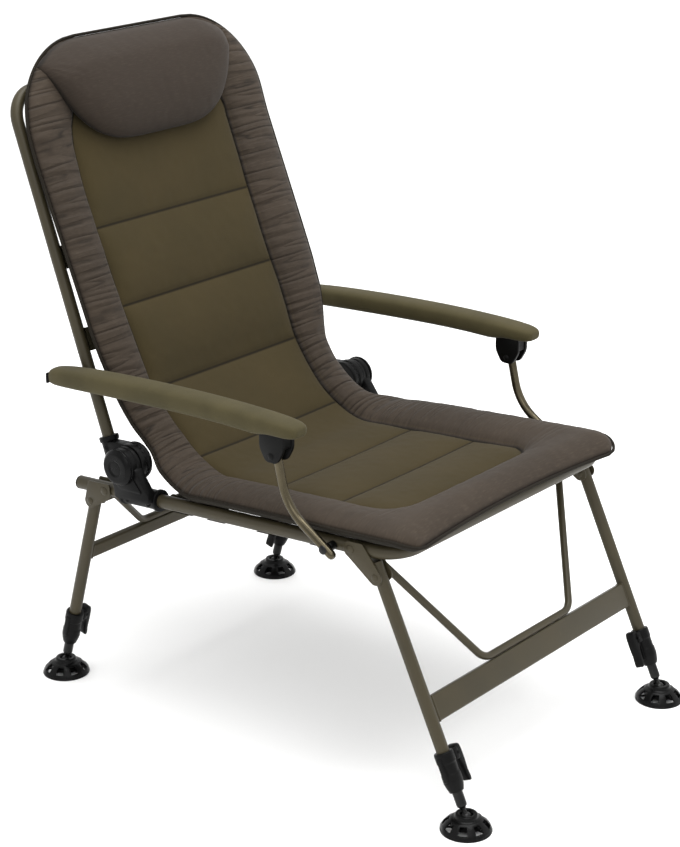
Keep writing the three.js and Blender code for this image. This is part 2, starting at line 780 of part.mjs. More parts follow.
// Disc, ratchet hub and tube socket of the back half of the hinge
function hingeArm() {
  const disc = turnedAcross([[0, 0], [discRadius - discBevel, 0], [discRadius, discBevel],
    [discRadius, discThickness], [0, discThickness]]).translate(hingeInner, 0, 0);
  const hub = ratchetHub(discOuter - overrun, discOuter + ratchetDepth);
  const socket = barAlongZ(socketRadius, socketBottom, socketTop, backHalf, backSetback);
  const rib = barAlongZ(socketRadius + ribHeight, socketTop - socketRib, socketTop, backHalf, backSetback);
  const web = sidePlate(outline([
    [0, -discRadius * 0.85], [backSetback, socketBottom], [backSetback, socketTop - socketRib],
    [backSetback - socketRadius, socketTop - socketRib], [-discRadius * 0.3, discRadius * 0.9],
  ]), hingeInner + discBevel, discOuter - discBevel);
  const tubeBore = barAlongZ(backRadius + touch, socketBottom + discBevel - touch, socketTop + overrun,
    backHalf, backSetback);
  const boltHole = pinHole(hingeBoltRadius + running, discOuter, discThickness + overrun, 0, 0);
  return cut(joined(disc, hub, socket, rib, web), tubeBore, boltHole);
}

function armBolt() {
  const tubeInner = backHalf - backRadius - touch;
  return joined(
    barAlongX(pinRadius, tubeInner, armHalf + coreWidth / 2, backSetback, armStation),
    barAlongX(headRadius, tubeInner - headThickness, tubeInner, backSetback, armStation),
  );
}

// Armrest: a padded sleeve over a box core, with a pivot block under its front
const coreSlope = Math.tan(radians(armRise));
const coreLine = (y) => -y * coreSlope;

function coreBar(width, height, from, to) {
  return new THREE.BoxGeometry(width, (to - from) / Math.cos(radians(armRise)), height)
    .rotateX(-radians(armRise)).translate(armHalf, (from + to) / 2, coreLine((from + to) / 2));
}

function armCore() {
  const bore = coreBar(coreWidth - coreWall * 2, coreHeight - coreWall * 2, -coreFront - overrun, coreRear + overrun);
  return cut(coreBar(coreWidth, coreHeight, -coreFront, coreRear), bore,
    pinHole(pinRadius + running, armHalf, coreWidth, 0, 0));
}

function armSleeve() {
  const sectionShares = [ // of the length from the rear, the width, and the height twice: size and lift
    [0, 0.61, 0.73, -0.2], [0.012, 0.73, 0.9, -0.18], [0.09, 0.9, 1, -0.13], [0.235, 0.98, 1, 0],
    [0.46, 1, 1, 0.1], [0.67, 1, 1, 0.17], [0.82, 1, 1.13, 0.03], [0.926, 1, 1.33, -0.17],
    [0.969, 0.94, 1.33, -0.23], [0.992, 0.73, 1.13, -0.23], [1, 0.49, 0.8, -0.2],
  ];
  const sides = 12;
  const roundness = 0.62;
  const soften = (value) => Math.sign(value) * Math.abs(value) ** roundness;
  const rings = sectionShares.map(([lengthShare, widthShare, heightShare, liftShare]) => {
    const y = sleeveRear - sleeveLength * lengthShare;
    return Array.from({ length: sides }, (_, i) => {
      const turn = ((i + 0.5) / sides) * 2 * Math.PI;
      return [
        armHalf + (soften(Math.cos(turn)) * sleeveWidth * widthShare) / 2, y,
        coreLine(y) + sleeveHeight * (liftShare + (soften(Math.sin(turn)) * heightShare) / 2),
      ];
    });
  });
  const bore = coreBar(coreWidth + touch * 2, coreHeight + touch * 2, -coreFront - touch, sleeveRear + overrun);
  const pocket = box(armHalf - blockWidth / 2 - pocketPlay, armHalf + blockWidth / 2 + pocketPlay,
    blockY - blockLength / 2 - pocketPlay, blockY + blockLength / 2 + pocketPlay,
    blockZ - blockDrop, coreLine(blockY));
  return cut(loft(rings), bore, pocket, barAlongX(pinRadius + pocketPlay, backHalf, armHalf, 0, 0, 10));
}

function armBlock() {
  const top = (y) => coreLine(y) - (coreHeight / 2) / Math.cos(radians(armRise)) - touch;
  const [front, rear] = [blockY - blockLength / 2, blockY + blockLength / 2];
  const low = blockZ - blockDrop;
  const shape = outline([
    [front, top(front)], [front, blockZ + blockRound], [blockY - blockRound, low],
    [blockY + blockRound, low], [rear, blockZ + blockRound], [rear, top(rear)],
  ]);
  const solid = sidePlate(shape, armHalf - blockWidth / 2, armHalf + blockWidth / 2);
  const slotHalf = postRadius + running;
  const slot = box(armHalf - slotHalf, armHalf + slotHalf, front - overrun, rear + overrun,
    low - overrun, blockZ + slotRise);
  const pin = barAlongX(slotPinRadius, armHalf - slotHalf - overrun, armHalf + slotHalf + overrun, blockY, blockZ);
  return joined(cut(solid, slot), pin);
}

// Post: straight down from the block, then forward to the rail
function postTube() {
  const back = Math.tan(radians(postTopLean));
  const climb = Math.tan(radians(postTailRise));
  const drop = (linkZ - climb * linkY) / (1 - climb * back);
  const [topRun, tailRun] = [postHead * Math.cos(radians(postTopLean)), postTail * Math.cos(radians(postTailRise))];
  const tube = bentTube([
    [armHalf, linkY + back * topRun, linkZ + topRun], [armHalf, linkY - back * drop, linkZ - drop],
    [armHalf, -tailRun, -tailRun * climb],
  ], postBend, postRadius, postWall, 8, 4);
  return cut(tube, pinHole(pinRadius + running, armHalf, postRadius + overrun, 0, 0),
    pinHole(slotPinRadius + overrun, armHalf, postRadius + overrun, linkY, linkZ));
}

// A rivet across both plates, headed outside
function plateRivet(radius, headSize, y, z, innerStack) {
  const [inner, outer] = [railHalf - cheekOuter - innerStack, railHalf + cheekOuter];
  return [
    barAlongX(radius, inner, outer, y, z, 8),
    barAlongX(headSize, inner - headThickness, inner, y, z, 8),
    barAlongX(headSize, outer - overrun, outer + headThickness, y, z, 8),
  ];
}

// A pair of plates either side of the rail, joined by the swing rivet and the leg rivet
function legPlates(cheek, legY, rivetDrop, innerStack, ...extras) {
  return joined(
    sidePlate(cheek, railHalf + cheekInner, railHalf + cheekOuter),
    sidePlate(cheek, railHalf - cheekOuter, railHalf - cheekInner),
    ...plateRivet(pinRadius, headRadius, 0, 0, innerStack),
    ...plateRivet(rivetRadius, rivetHead, legY, -rivetDrop, 0),
    ...extras,
  );
}

// Where the top edge of a plate lies, parallel to the rail
function plateEdge(y, lean) {
  const slope = radians(lean - railRise);
  return y * Math.tan(slope) + plateTop / Math.cos(slope);
}

function frontPlates() {
  const legY = -frontOffset;
  const front = -frontOffset + touch * 4;
  const cheek = new THREE.Shape();
  cheek.moveTo(front, plateEdge(front, frontLean));
  cheek.lineTo(legY - plateFoot, -frontRivetDrop);
  cheek.absarc(legY, -frontRivetDrop, plateFoot, Math.PI, Math.PI * 1.85, false);
  cheek.absarc(0, 0, plateTop, -Math.PI * 0.25, Math.PI / 2 + radians(frontLean - railRise), false);
  const webTop = -frontRivetDrop + plateWeb;
  const webFoot = legY + legRadius + touch;
  const web = sidePlate(outline([
    [webFoot, -frontRivetDrop], [webFoot + plateThickness, -frontRivetDrop],
    [webFoot + plateThickness + plateWeb / 2, webTop], [webFoot + plateWeb / 2, webTop],
  ]), railHalf - cheekInner - overrun, railHalf + cheekInner + overrun);
  return legPlates(cheek, legY, frontRivetDrop, eyeThickness + touch * 2, web);
}

function rearPlates() {
  const legY = rearOffset;
  const front = -plateRound / 2;
  const rear = legY + plateFoot;
  const cheek = new THREE.Shape();
  cheek.moveTo(front, plateEdge(front, -rearLean));
  cheek.lineTo(-plateRound * 0.9, 0);
  cheek.lineTo(-plateRound * 0.9, -plateRound * 0.6);
  cheek.lineTo(legY - plateFoot * 0.75, -rearRivetDrop - plateFoot * 0.5);
  cheek.absarc(legY, -rearRivetDrop, plateFoot, Math.PI * 1.25, Math.PI * 2, false);
  cheek.lineTo(rear, plateEdge(rear, -rearLean));
  return legPlates(cheek, legY, rearRivetDrop, 0);
}

function legTube(top, reach, rivetDrop) {
  const tube = bentTube([[railHalf, 0, -top], [railHalf, 0, collarTop - tubeInCollar - reach]],
    railBend, legRadius, legWall);
  return cut(tube, pinHole(rivetRadius + running, railHalf, legRadius + overrun, 0, -rivetDrop));
}

// Flat bar between the legs, hollow and coped round the tubes
function crossBar(height, thickness, drop) {
  const bar = box(-railHalf, railHalf, -thickness / 2, thickness / 2, -drop - height / 2, -drop + height / 2);
  const bore = box(-railHalf - overrun, railHalf + overrun, -thickness / 2 + barWall, thickness / 2 - barWall,
    -drop - height / 2 + barWall, -drop + height / 2 - barWall);
  const copes = [railHalf, -railHalf].map((x) => barAlongZ(footGap, -drop - height, -drop + height, x, 0));
  return cut(bar, bore, ...copes);
}

// The front brace rests on the crossbar and rises to eyes on the swing rivets
function frontBrace() {
  const low = [frontBraceSpread / 2, -frontOffset, -frontBarDrop + frontBarHeight / 2 + braceRadius + touch];
  const top = [railHalf - cheekOuter, 0, 0];
  const share = 0.955; // of the line to the swing axis that the tube covers
  const end = low.map((value, i) => value + (top[i] - value) * share);
  const mirror = ([x, y, z]) => [-x, y, z];
  const tube = bentTube([end, low, mirror(low), mirror(end)], braceBend, braceRadius, braceWall, 8, 3);
  const heading = Math.atan2(low[2], low[1]);
  const eye = new THREE.Shape();
  eye.absarc(0, 0, eyeRadius, heading + Math.PI / 2, heading - Math.PI / 2 + Math.PI * 2, false);
  eye.absarc(Math.cos(heading) * eyeLength, Math.sin(heading) * eyeLength, eyeRadius * 0.7,
    heading - Math.PI / 2, heading + Math.PI / 2, false);
  const eyeOuter = railHalf - cheekOuter - touch;
  const plate = sidePlate(eye, eyeOuter - eyeThickness, eyeOuter);
  const holes = [railHalf, -railHalf].map((x) => pinHole(pinRadius + running, x, railHalf / 4, 0, 0));
  return cut(joined(tube, plate, mirrored(plate)), ...holes);
}

// The rear brace rests on its crossbar and is welded to the inner plates
function rearBrace() {
  const lowZ = -rearBarDrop + rearBarHeight / 2 + braceRadius + touch;
  const wall = railHalf - cheekOuter - touch;
  const [low, top] = [[rearBraceSpread / 2, rearOffset, lowZ], [railHalf, rearOffset, 0]];
  const slope = (-rearBraceTop - lowZ) / (wall - low[0]);
  top[2] = lowZ + slope * (railHalf - low[0]);
  const mirror = ([x, y, z]) => [-x, y, z];
  const tube = bentTube([top, low, mirror(low), mirror(top)], braceBend, braceRadius, braceWall, 8, 3);
  const beyond = [box(wall, railHalf * 2, -railHalf, railHalf, -railHalf, railHalf),
    box(-railHalf * 2, -wall, -railHalf, railHalf, -railHalf, railHalf)];
  return cut(tube, ...beyond);
}

// Collar lock on the end of a leg, with two lugs for its lever on the inboard side
function collar(reach) {
  const top = collarTop - reach;
  const bottom = top - collarLength;
  const shoulder = top - tubeInCollar - touch;
  const waist = collarRadius - collarStep;
  const bore = innerLegRadius + touch;
  const body = turned([
    [footGap, top], [waist, top], [collarRadius, top - collarStep], [collarRadius, top - lugHeight],
    [waist, top - lugHeight - collarStep], [waist, bottom + collarStep * 3],
    [collarRadius, bottom + collarStep * 2], [collarRadius, bottom], [bore, bottom],
    [bore, shoulder], [footGap, shoulder], [footGap, top],
  ], 12).translate(railHalf, 0, 0);
  const lugs = [1, -1].map((side) => {
    const [near, far] = [side * (leverWidth / 2 + touch), side * (leverWidth / 2 + touch + lugThickness)];
    return box(railHalf - collarRadius - lugReach, railHalf - footGap - touch * 4, Math.min(near, far),
      Math.max(near, far), top - lugHeight, top - collarStep);
  });
  return joined(body, ...lugs);
}

// Lever drawn in x and z, its width along y
function lever(reach) {
  const shape = new THREE.Shape();
  shape.absarc(0, 0, leverKnuckle, -Math.PI / 3, Math.PI * 1.1, false);
  shape.lineTo(-leverKnuckle * 1.5, -leverGrip * 0.45);
  shape.lineTo(-leverKnuckle * 2.5, -leverGrip);
  shape.lineTo(-leverKnuckle * 2.5 + leverThickness, -leverGrip - leverThickness / 3);
  shape.lineTo(-leverKnuckle * 1.5 + leverThickness * 1.3, -leverGrip * 0.45);
  const x = railHalf - collarRadius - leverKnuckle - touch * 2;
  const z = collarTop - reach - leverDrop;
  return outward(new THREE.ExtrudeGeometry(shape, { depth: leverWidth, bevelEnabled: false, curveSegments: 7 })
    .rotateX(Math.PI / 2).translate(x, leverWidth / 2, z));
}

function innerLeg(reach) {
  const ballSteps = 3;
  const neck = Math.asin(stemRadius / ballRadius);
  const ball = Array.from({ length: ballSteps + 1 }, (_, i) => {
    const turn = -Math.PI / 2 + ((Math.PI - neck) * i) / ballSteps;
    return [i === 0 ? 0 : ballRadius * Math.cos(turn), ballRadius * Math.sin(turn)];
  });
  const top = innerLegStart + innerLegLength;
  const bore = innerLegRadius - innerLegWall;
  return turned([
    ...ball, [stemRadius, innerLegStart - stemTaper], [innerLegRadius, innerLegStart], [innerLegRadius, top],
    [bore, top], [bore, innerLegStart + legPlug], [0, innerLegStart + legPlug],
  ], 10).translate(railHalf, 0, -reach);
}

// Mud foot: a low shell with a ball cup and windows round its slope
function mudFoot(centreY) {
  const cup = ballRadius + cupPlay;
  const cupSteps = 3;
  const lipAngle = Math.asin(cupLip / cup);
  const inside = Array.from({ length: cupSteps + 1 }, (_, i) => {
    const turn = lipAngle - ((lipAngle + Math.PI / 2) * i) / cupSteps;
    return [i === cupSteps ? 0 : cup * Math.cos(turn), ballHeight + cup * Math.sin(turn)];
  });
  const rim = ballHeight + cupRise;
  const slopeFoot = footRadius - footRim;
  const under = ballHeight - cup - footShell;
  const body = turned([
    [slopeFoot, 0], [footRadius, 0], [footRadius, footEdge], [slopeFoot, footEdge + footRim],
    [cupRadius, ballHeight], [cupRadius, rim - cupFlare], [cupRadius - cupFlare, rim],
    ...inside, [0, under], [cupRadius - footShell, under],
    [slopeFoot - footShell / 2, footEdge], [slopeFoot, 0],
  ], footWindows * 2);
  const windows = Array.from({ length: footWindows }, (_, i) =>
    box(cupRadius + footShell, slopeFoot - footShell / 2, -windowWidth / 2, windowWidth / 2,
      footEdge + touch, ballHeight).rotateZ(((i + 0.5) / footWindows) * 2 * Math.PI));
  return cut(body, ...windows).translate(railHalf, centreY, 0);
}

// Seat body
addPiece('seat_tube', seatTube(), olivePaint, seat);
addPiece('rear_cross_tube', rearCrossTube(), olivePaint, seat);
addPair('rail_plug', railPlug(), blackPlastic, seat);
addPair('hinge_housing', hingeHousing(), blackPlastic, seat);
addPair('hinge_cap', hingeCap(), blackPlastic, seat);
addPair('hinge_bolt', hingeBolt(), blackSteel, seat);
addPair('post_bolt', postBolt(), blackSteel, posts);
addPiece('seat_webbing', webbing(seatStraps, railHalf, railRadius, () => 0), webbingFabric, seat);
addPiece('seat_pad', seatPad(), greyFabric, seat);
addPiece('mattress_crease', creasePad(), oliveFabric, chair);

// Back body. Its straps climb from the tubes to the back of the mattress.
const strapLift = (station) => Math.max(0,
  backSetback - strapTop(backRadius) - padBackFace / Math.cos(radians(padLean)) - touch
    - (station + strapWidth / 2) * Math.tan(radians(padLean)));
addPiece('back_tube', backTube(), olivePaint, back);
addPair('hinge_arm', hingeArm(), blackPlastic, back);
addPiece('back_webbing', webbing(backStraps, backHalf, backRadius, strapLift)
  .rotateX(Math.PI / 2).translate(0, backSetback, 0), webbingFabric, back);
addPair('arm_bolt', armBolt(), blackSteel, back);
addPiece('back_pad', backPad(), greyFabric, mattress);
addPiece('head_pillow', headPillow(), greyFabric, mattress);

// Armrests and posts
addPair('arm_core', armCore(), blackSteel, arms);
addPair('arm_sleeve', armSleeve(), sleeveFabric, arms);
addPair('arm_block', armBlock(), blackPlastic, arms);
addPair('arm_post', postTube(), bareSteel, posts);

// Leg frames with their telescopic ends
function addLegFrame(name, station, lean, offset, { top, rivetDrop, plates, bar, brace }) {
  const [y, z] = railPlace(station, 0);
  const frame = frameAt(y, z, lean);
  const legs = new THREE.Group();
  legs.position.y = offset;
  frame.add(legs);
  const angle = radians(lean);
  const reach = (z + offset * Math.sin(angle) - ballHeight) / Math.cos(angle);
  addPair(`${name}_plate`, plates, olivePaint, frame);
  addPiece(`${name}_brace`, brace, olivePaint, frame);
  addPiece(`${name}_crossbar`, bar, olivePaint, legs);
  addPair(`${name}_leg`, legTube(top, reach, rivetDrop), olivePaint, legs);
  addPair(`${name}_collar`, collar(reach), blackPlastic, legs);
  addPair(`${name}_lever`, lever(reach), blackPlastic, legs);
  addPair(`${name}_inner_leg`, innerLeg(reach), blackSteel, legs);
  const footY = y + offset * Math.cos(angle) + reach * Math.sin(angle);
  addPair(`${name}_foot`, mudFoot(footY), blackPlastic, chair);
}

addLegFrame('front', frontStation, -frontLean, -frontOffset, {
  top: frontLegTop,
  rivetDrop: frontRivetDrop,
  plates: frontPlates(),
  bar: crossBar(frontBarHeight, frontBarThickness, frontBarDrop),
  brace: frontBrace(),
});
addLegFrame('rear', rearStation, rearLean, rearOffset, {
  top: rearLegTop,
  rivetDrop: rearRivetDrop,
  plates: rearPlates(),
  bar: crossBar(rearBarHeight, rearBarThickness, rearBarDrop),
  brace: rearBrace(),
});

// The origin is the middle of the chair's footprint, on the floor
chair.updateMatrixWorld(true);
const bounds = new THREE.Box3().setFromObject(chair, true);
const centre = bounds.getCenter(new THREE.Vector3());
chair.position.set(-centre.x, -centre.y, -bounds.min.z);
chair.updateMatrixWorld(true);

export default chair;
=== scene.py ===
import math
import bmesh
import bpy
import numpy as np
from mathutils import Matrix, Vector


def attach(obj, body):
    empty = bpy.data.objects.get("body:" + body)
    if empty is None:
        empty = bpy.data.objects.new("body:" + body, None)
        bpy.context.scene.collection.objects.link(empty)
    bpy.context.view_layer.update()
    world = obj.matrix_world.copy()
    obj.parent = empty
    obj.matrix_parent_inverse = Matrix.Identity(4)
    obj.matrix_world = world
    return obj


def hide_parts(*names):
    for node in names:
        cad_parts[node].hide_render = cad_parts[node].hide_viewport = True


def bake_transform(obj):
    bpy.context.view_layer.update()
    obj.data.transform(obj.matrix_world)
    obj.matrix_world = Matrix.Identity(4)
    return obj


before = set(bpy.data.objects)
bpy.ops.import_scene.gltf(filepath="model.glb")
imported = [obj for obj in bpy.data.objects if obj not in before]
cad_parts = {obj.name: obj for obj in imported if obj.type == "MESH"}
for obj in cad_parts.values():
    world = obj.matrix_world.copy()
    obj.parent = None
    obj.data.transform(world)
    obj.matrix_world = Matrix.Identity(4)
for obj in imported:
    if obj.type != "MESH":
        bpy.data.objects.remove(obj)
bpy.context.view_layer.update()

print("Frame loaded")

# The chair's own frames
mm = 0.001
chair = {
    "shift": -18.1575,      # the chair's middle, from the middle of its footprint
    "railSpacing": 544, "railHeight": 382, "railRise": 3.8,
    "hingeStation": 236, "hingeRise": 55,
    "backLean": 19.9, "backSpacing": 532, "backSetback": 43.7,
    "armStation": 150, "armSpacing": 604, "postStation": -181.4,
    "padLean": 2.9,
}


def railPlace(station, rise):  # a place along the rail and above it, as y and z
    slope = math.radians(chair["railRise"])
    return (station * math.cos(slope) + rise * math.sin(slope),
            chair["railHeight"] - station * math.sin(slope) + rise * math.cos(slope))


def frameAt(y, z, lean):  # turns a piece drawn in millimetres into the chair's metres
    return (Matrix.Translation((0, (y + chair["shift"]) * mm, z * mm))
            @ Matrix.Rotation(math.radians(lean), 4, "X") @ Matrix.Scale(mm, 4))


hingeY, hingeZ = railPlace(chair["hingeStation"], chair["hingeRise"])
postY, postZ = railPlace(chair["postStation"], 0)
lean = math.radians(chair["backLean"])
linkY = chair["armStation"] * math.sin(lean) + chair["backSetback"] * math.cos(lean)
linkZ = chair["armStation"] * math.cos(lean) - chair["backSetback"] * math.sin(lean)
railHalf = chair["railSpacing"] / 2
backHalf = chair["backSpacing"] / 2
armHalf = chair["armSpacing"] / 2
seatFrame = frameAt(0, chair["railHeight"], -chair["railRise"])
backFrame = frameAt(hingeY, hingeZ, -chair["backLean"])
armFrame = frameAt(hingeY + linkY, hingeZ + linkZ, 0)
postFrame = frameAt(postY, postZ, 0)
chairFrame = frameAt(0, 0, 0)

# Shader expressions


class Finish:  # one material and the short way to its nodes
    def __init__(self, name):
        self.material = bpy.data.materials.new(name)
        self.material.use_nodes = True
        self.tree = self.material.node_tree
        self.tree.nodes.clear()
        self.output = self.tree.nodes.new("ShaderNodeOutputMaterial")

    def node(self, kind, settings=None, out=0, **inputs):
        made = self.tree.nodes.new(kind)
        for key, value in (settings or {}).items():
            if key == "stops":
                ramp = made.color_ramp
                while len(ramp.elements) < len(value):
                    ramp.elements.new(0.5)
                for element, (place, color) in zip(ramp.elements, value):
                    element.position = place
                    element.color = color
            else:
                setattr(made, key, value)
        for key, value in inputs.items():
            numbered = key[0] == "i" and key[1:].isdigit()
            socket = made.inputs[int(key[1:]) if numbered else key.replace("_", " ")]
            if isinstance(value, Value):
                self.tree.links.new(value.socket, socket)
            elif value is not None:
                socket.default_value = value
        return Value(self, made.outputs[out])

    def shade(self, **inputs):
        shader = self.node("ShaderNodeBsdfPrincipled", None, 0, **inputs)
        self.tree.links.new(shader.socket, self.output.inputs["Surface"])
        return self.material

    def mix(self, share, low, high):  # colours
        return self.node("ShaderNodeMix", {"data_type": "RGBA"}, 2, i0=share, i6=low, i7=high)

    def object(self):
        return self.node("ShaderNodeTexCoord", None, 3)

    def noise(self, place, scale, detail=3.0, roughness=0.55, distortion=0.0):
        return self.node("ShaderNodeTexNoise", None, 0, Vector=place, Scale=scale, Detail=detail,
                         Roughness=roughness, Distortion=distortion)

    def attribute(self, name):
        return self.node("ShaderNodeAttribute", {"attribute_name": name}, 2)

    def smooth(self, value, low, high, toLow=0.0, toHigh=1.0):
        return self.node("ShaderNodeMapRange", {"interpolation_type": "SMOOTHSTEP"}, 0,
                         Value=value, From_Min=low, From_Max=high, To_Min=toLow, To_Max=toHigh)

    def bump(self, height, distance, strength=1.0, normal=None):
        return self.node("ShaderNodeBump", None, 0, Height=height, Distance=distance, Strength=strength, Normal=normal)

    def stretched(self, place, scale):
        return self.node("ShaderNodeMapping", None, 0, Vector=place, Scale=scale)


class Value:  # a socket that sums and products can be written with
    def __init__(self, finish, socket):
        self.finish = finish
        self.socket = socket

    def math(self, operation, *others):
        return self.finish.node("ShaderNodeMath", {"operation": operation}, 0,
                                **{f"i{i}": value for i, value in enumerate((self,) + others)})

    def __add__(self, other): return self.math("ADD", other)
    def __sub__(self, other): return self.math("SUBTRACT", other)
    def __mul__(self, other): return self.math("MULTIPLY", other)
    def __rsub__(self, other): return (self * -1.0) + other
    __radd__ = __add__
    __rmul__ = __mul__

    def absolute(self): return self.math("ABSOLUTE")
    def wave(self): return self.math("SINE")
    def atMost(self, other): return self.math("MINIMUM", other)
    def atLeast(self, other): return self.math("MAXIMUM", other)
    def below(self, other): return self.math("LESS_THAN", other)
    def wrapped(self): return self.math("FRACT")


def screen(red, green, blue):  # a colour as it shows on screen
    shares = [c / 255 for c in (red, green, blue)]
    return (*[c / 12.92 if c <= 10 / 255 else ((c + 0.055) / 1.055) ** 2.4 for c in shares], 1)


# Finishes
paint = {"olive": (57, 51, 35), "worn": (80, 73, 55), "dark": (51, 46, 32), "roughness": 0.42}


def makePaint(name, tone, worn, dark, roughness):
    f = Finish(name)
    place = f.object()
    cloud = f.noise(place, 9.0, 4.0)
    grain = f.noise(place, 900.0, 2.0)
    scuff = f.smooth(f.noise(f.stretched(place, (60.0, 60.0, 9.0)), 3.0, 5.0, 0.7), 0.62, 0.78)
    color = f.mix(f.smooth(cloud, 0.3, 0.7), screen(*dark), screen(*tone))
    color = f.mix(scuff * 0.35, color, screen(*worn))
    height = grain * 0.25 + cloud * 0.1
    return f.shade(Base_Color=color, Metallic=0.15, Specular_IOR_Level=0.3,
                   Roughness=f.smooth(cloud, 0.2, 0.8, roughness - 0.06, roughness + 0.1),
                   Normal=f.bump(height, 0.0002, 0.35))


plastic = {"black": (10, 10, 10), "dust": (24, 24, 23), "roughness": 0.36}
gloss = {"black": (10, 10, 10), "dust": (24, 24, 24), "roughness": 0.24}


def makePlastic(name, tone, dust, roughness):
    f = Finish(name)
    place = f.object()
    grain = f.noise(place, 1400.0, 2.0, 0.7)
    cloud = f.noise(place, 25.0, 4.0, 0.6)
    color = f.mix(f.smooth(cloud, 0.45, 0.85) * 0.4, screen(*tone), screen(*dust))
    return f.shade(Base_Color=color, Roughness=f.smooth(cloud, 0.2, 0.8, roughness - 0.06, roughness + 0.12),
                   Specular_IOR_Level=0.09, Normal=f.bump(grain, 0.00015, 0.5))


metal = {"post": (86, 79, 63), "streak": (68, 63, 50), "roughness": 0.2}
steel = {"black": (22, 22, 21), "streak": (13, 13, 13), "roughness": 0.3, "metallic": 0.6}


def makeMetal(name, tone, streak, roughness, metallic=0.95):
    f = Finish(name)
    place = f.object()
    lines = f.noise(f.stretched(place, (260.0, 260.0, 12.0)), 3.0, 4.0, 0.7)
    cloud = f.noise(place, 18.0, 3.0)
    color = f.mix(f.smooth(cloud, 0.3, 0.7), screen(*streak), screen(*tone))
    return f.shade(Base_Color=color, Metallic=metallic,
                   Roughness=f.smooth(lines, 0.2, 0.8, roughness - 0.07, roughness + 0.12),
                   Normal=f.bump(lines, 0.0001, 0.3))


webCloth = {"tone": (46, 42, 30), "light": (64, 60, 44)}


def makeWebbing(name, tone, light):  # ribs across the strap, from its own map
    f = Finish(name)
    uv = f.node("ShaderNodeUVMap", {"uv_map": "cloth"})
    along = f.node("ShaderNodeSeparateXYZ", None, 1, Vector=uv)
    across = f.node("ShaderNodeSeparateXYZ", None, 0, Vector=uv)
    rib = (along * 3140.0).wave() * 0.5 + 0.5
    warp = (across * 2100.0).wave() * 0.5 + 0.5
    cloud = f.noise(uv, 40.0, 4.0)
    color = f.mix(rib * 0.5 + cloud * 0.4, screen(*tone), screen(*light))
    return f.shade(Base_Color=color, Roughness=0.85, Specular_IOR_Level=0.15,
                   Normal=f.bump(rib * 0.7 + warp * 0.3, 0.0004, 0.6))


armCloth = {"tone": (66, 60, 38), "shade": (57, 52, 32), "light": (84, 78, 52)}


def makeSleeve(name, tone, shade, light):
    f = Finish(name)
    place = f.object()
    cloud = f.noise(place, 14.0, 4.0, 0.6)
    nap = f.noise(place, 700.0, 3.0, 0.7)
    color = f.mix(f.smooth(cloud, 0.25, 0.75), screen(*shade), screen(*tone))
    color = f.mix(f.smooth(nap, 0.5, 0.85) * 0.35, color, screen(*light))
    return f.shade(Base_Color=color, Roughness=0.8, Specular_IOR_Level=0.15, Sheen_Weight=0.04,
                   Normal=f.bump(nap * 0.6 + cloud * 0.4, 0.0006, 0.5))


# the thread colour is dark thread at the seams and also painted shade along the rim and in the creases
padCloth = {
    "border": (54, 46, 38), "borderShade": (47, 40, 33), "borderLight": (78, 69, 58),
    "panel": (54, 46, 27), "panelShade": (50, 43, 25), "panelLight": (69, 61, 37),
    "threadAndShade": (12, 9, 6), "backing": (28, 26, 22), "cord": (20, 17, 12),
}
pillowCloth = {**padCloth, "border": (45, 38, 32), "borderShade": (44, 37, 31), "borderLight": (67, 59, 50)}


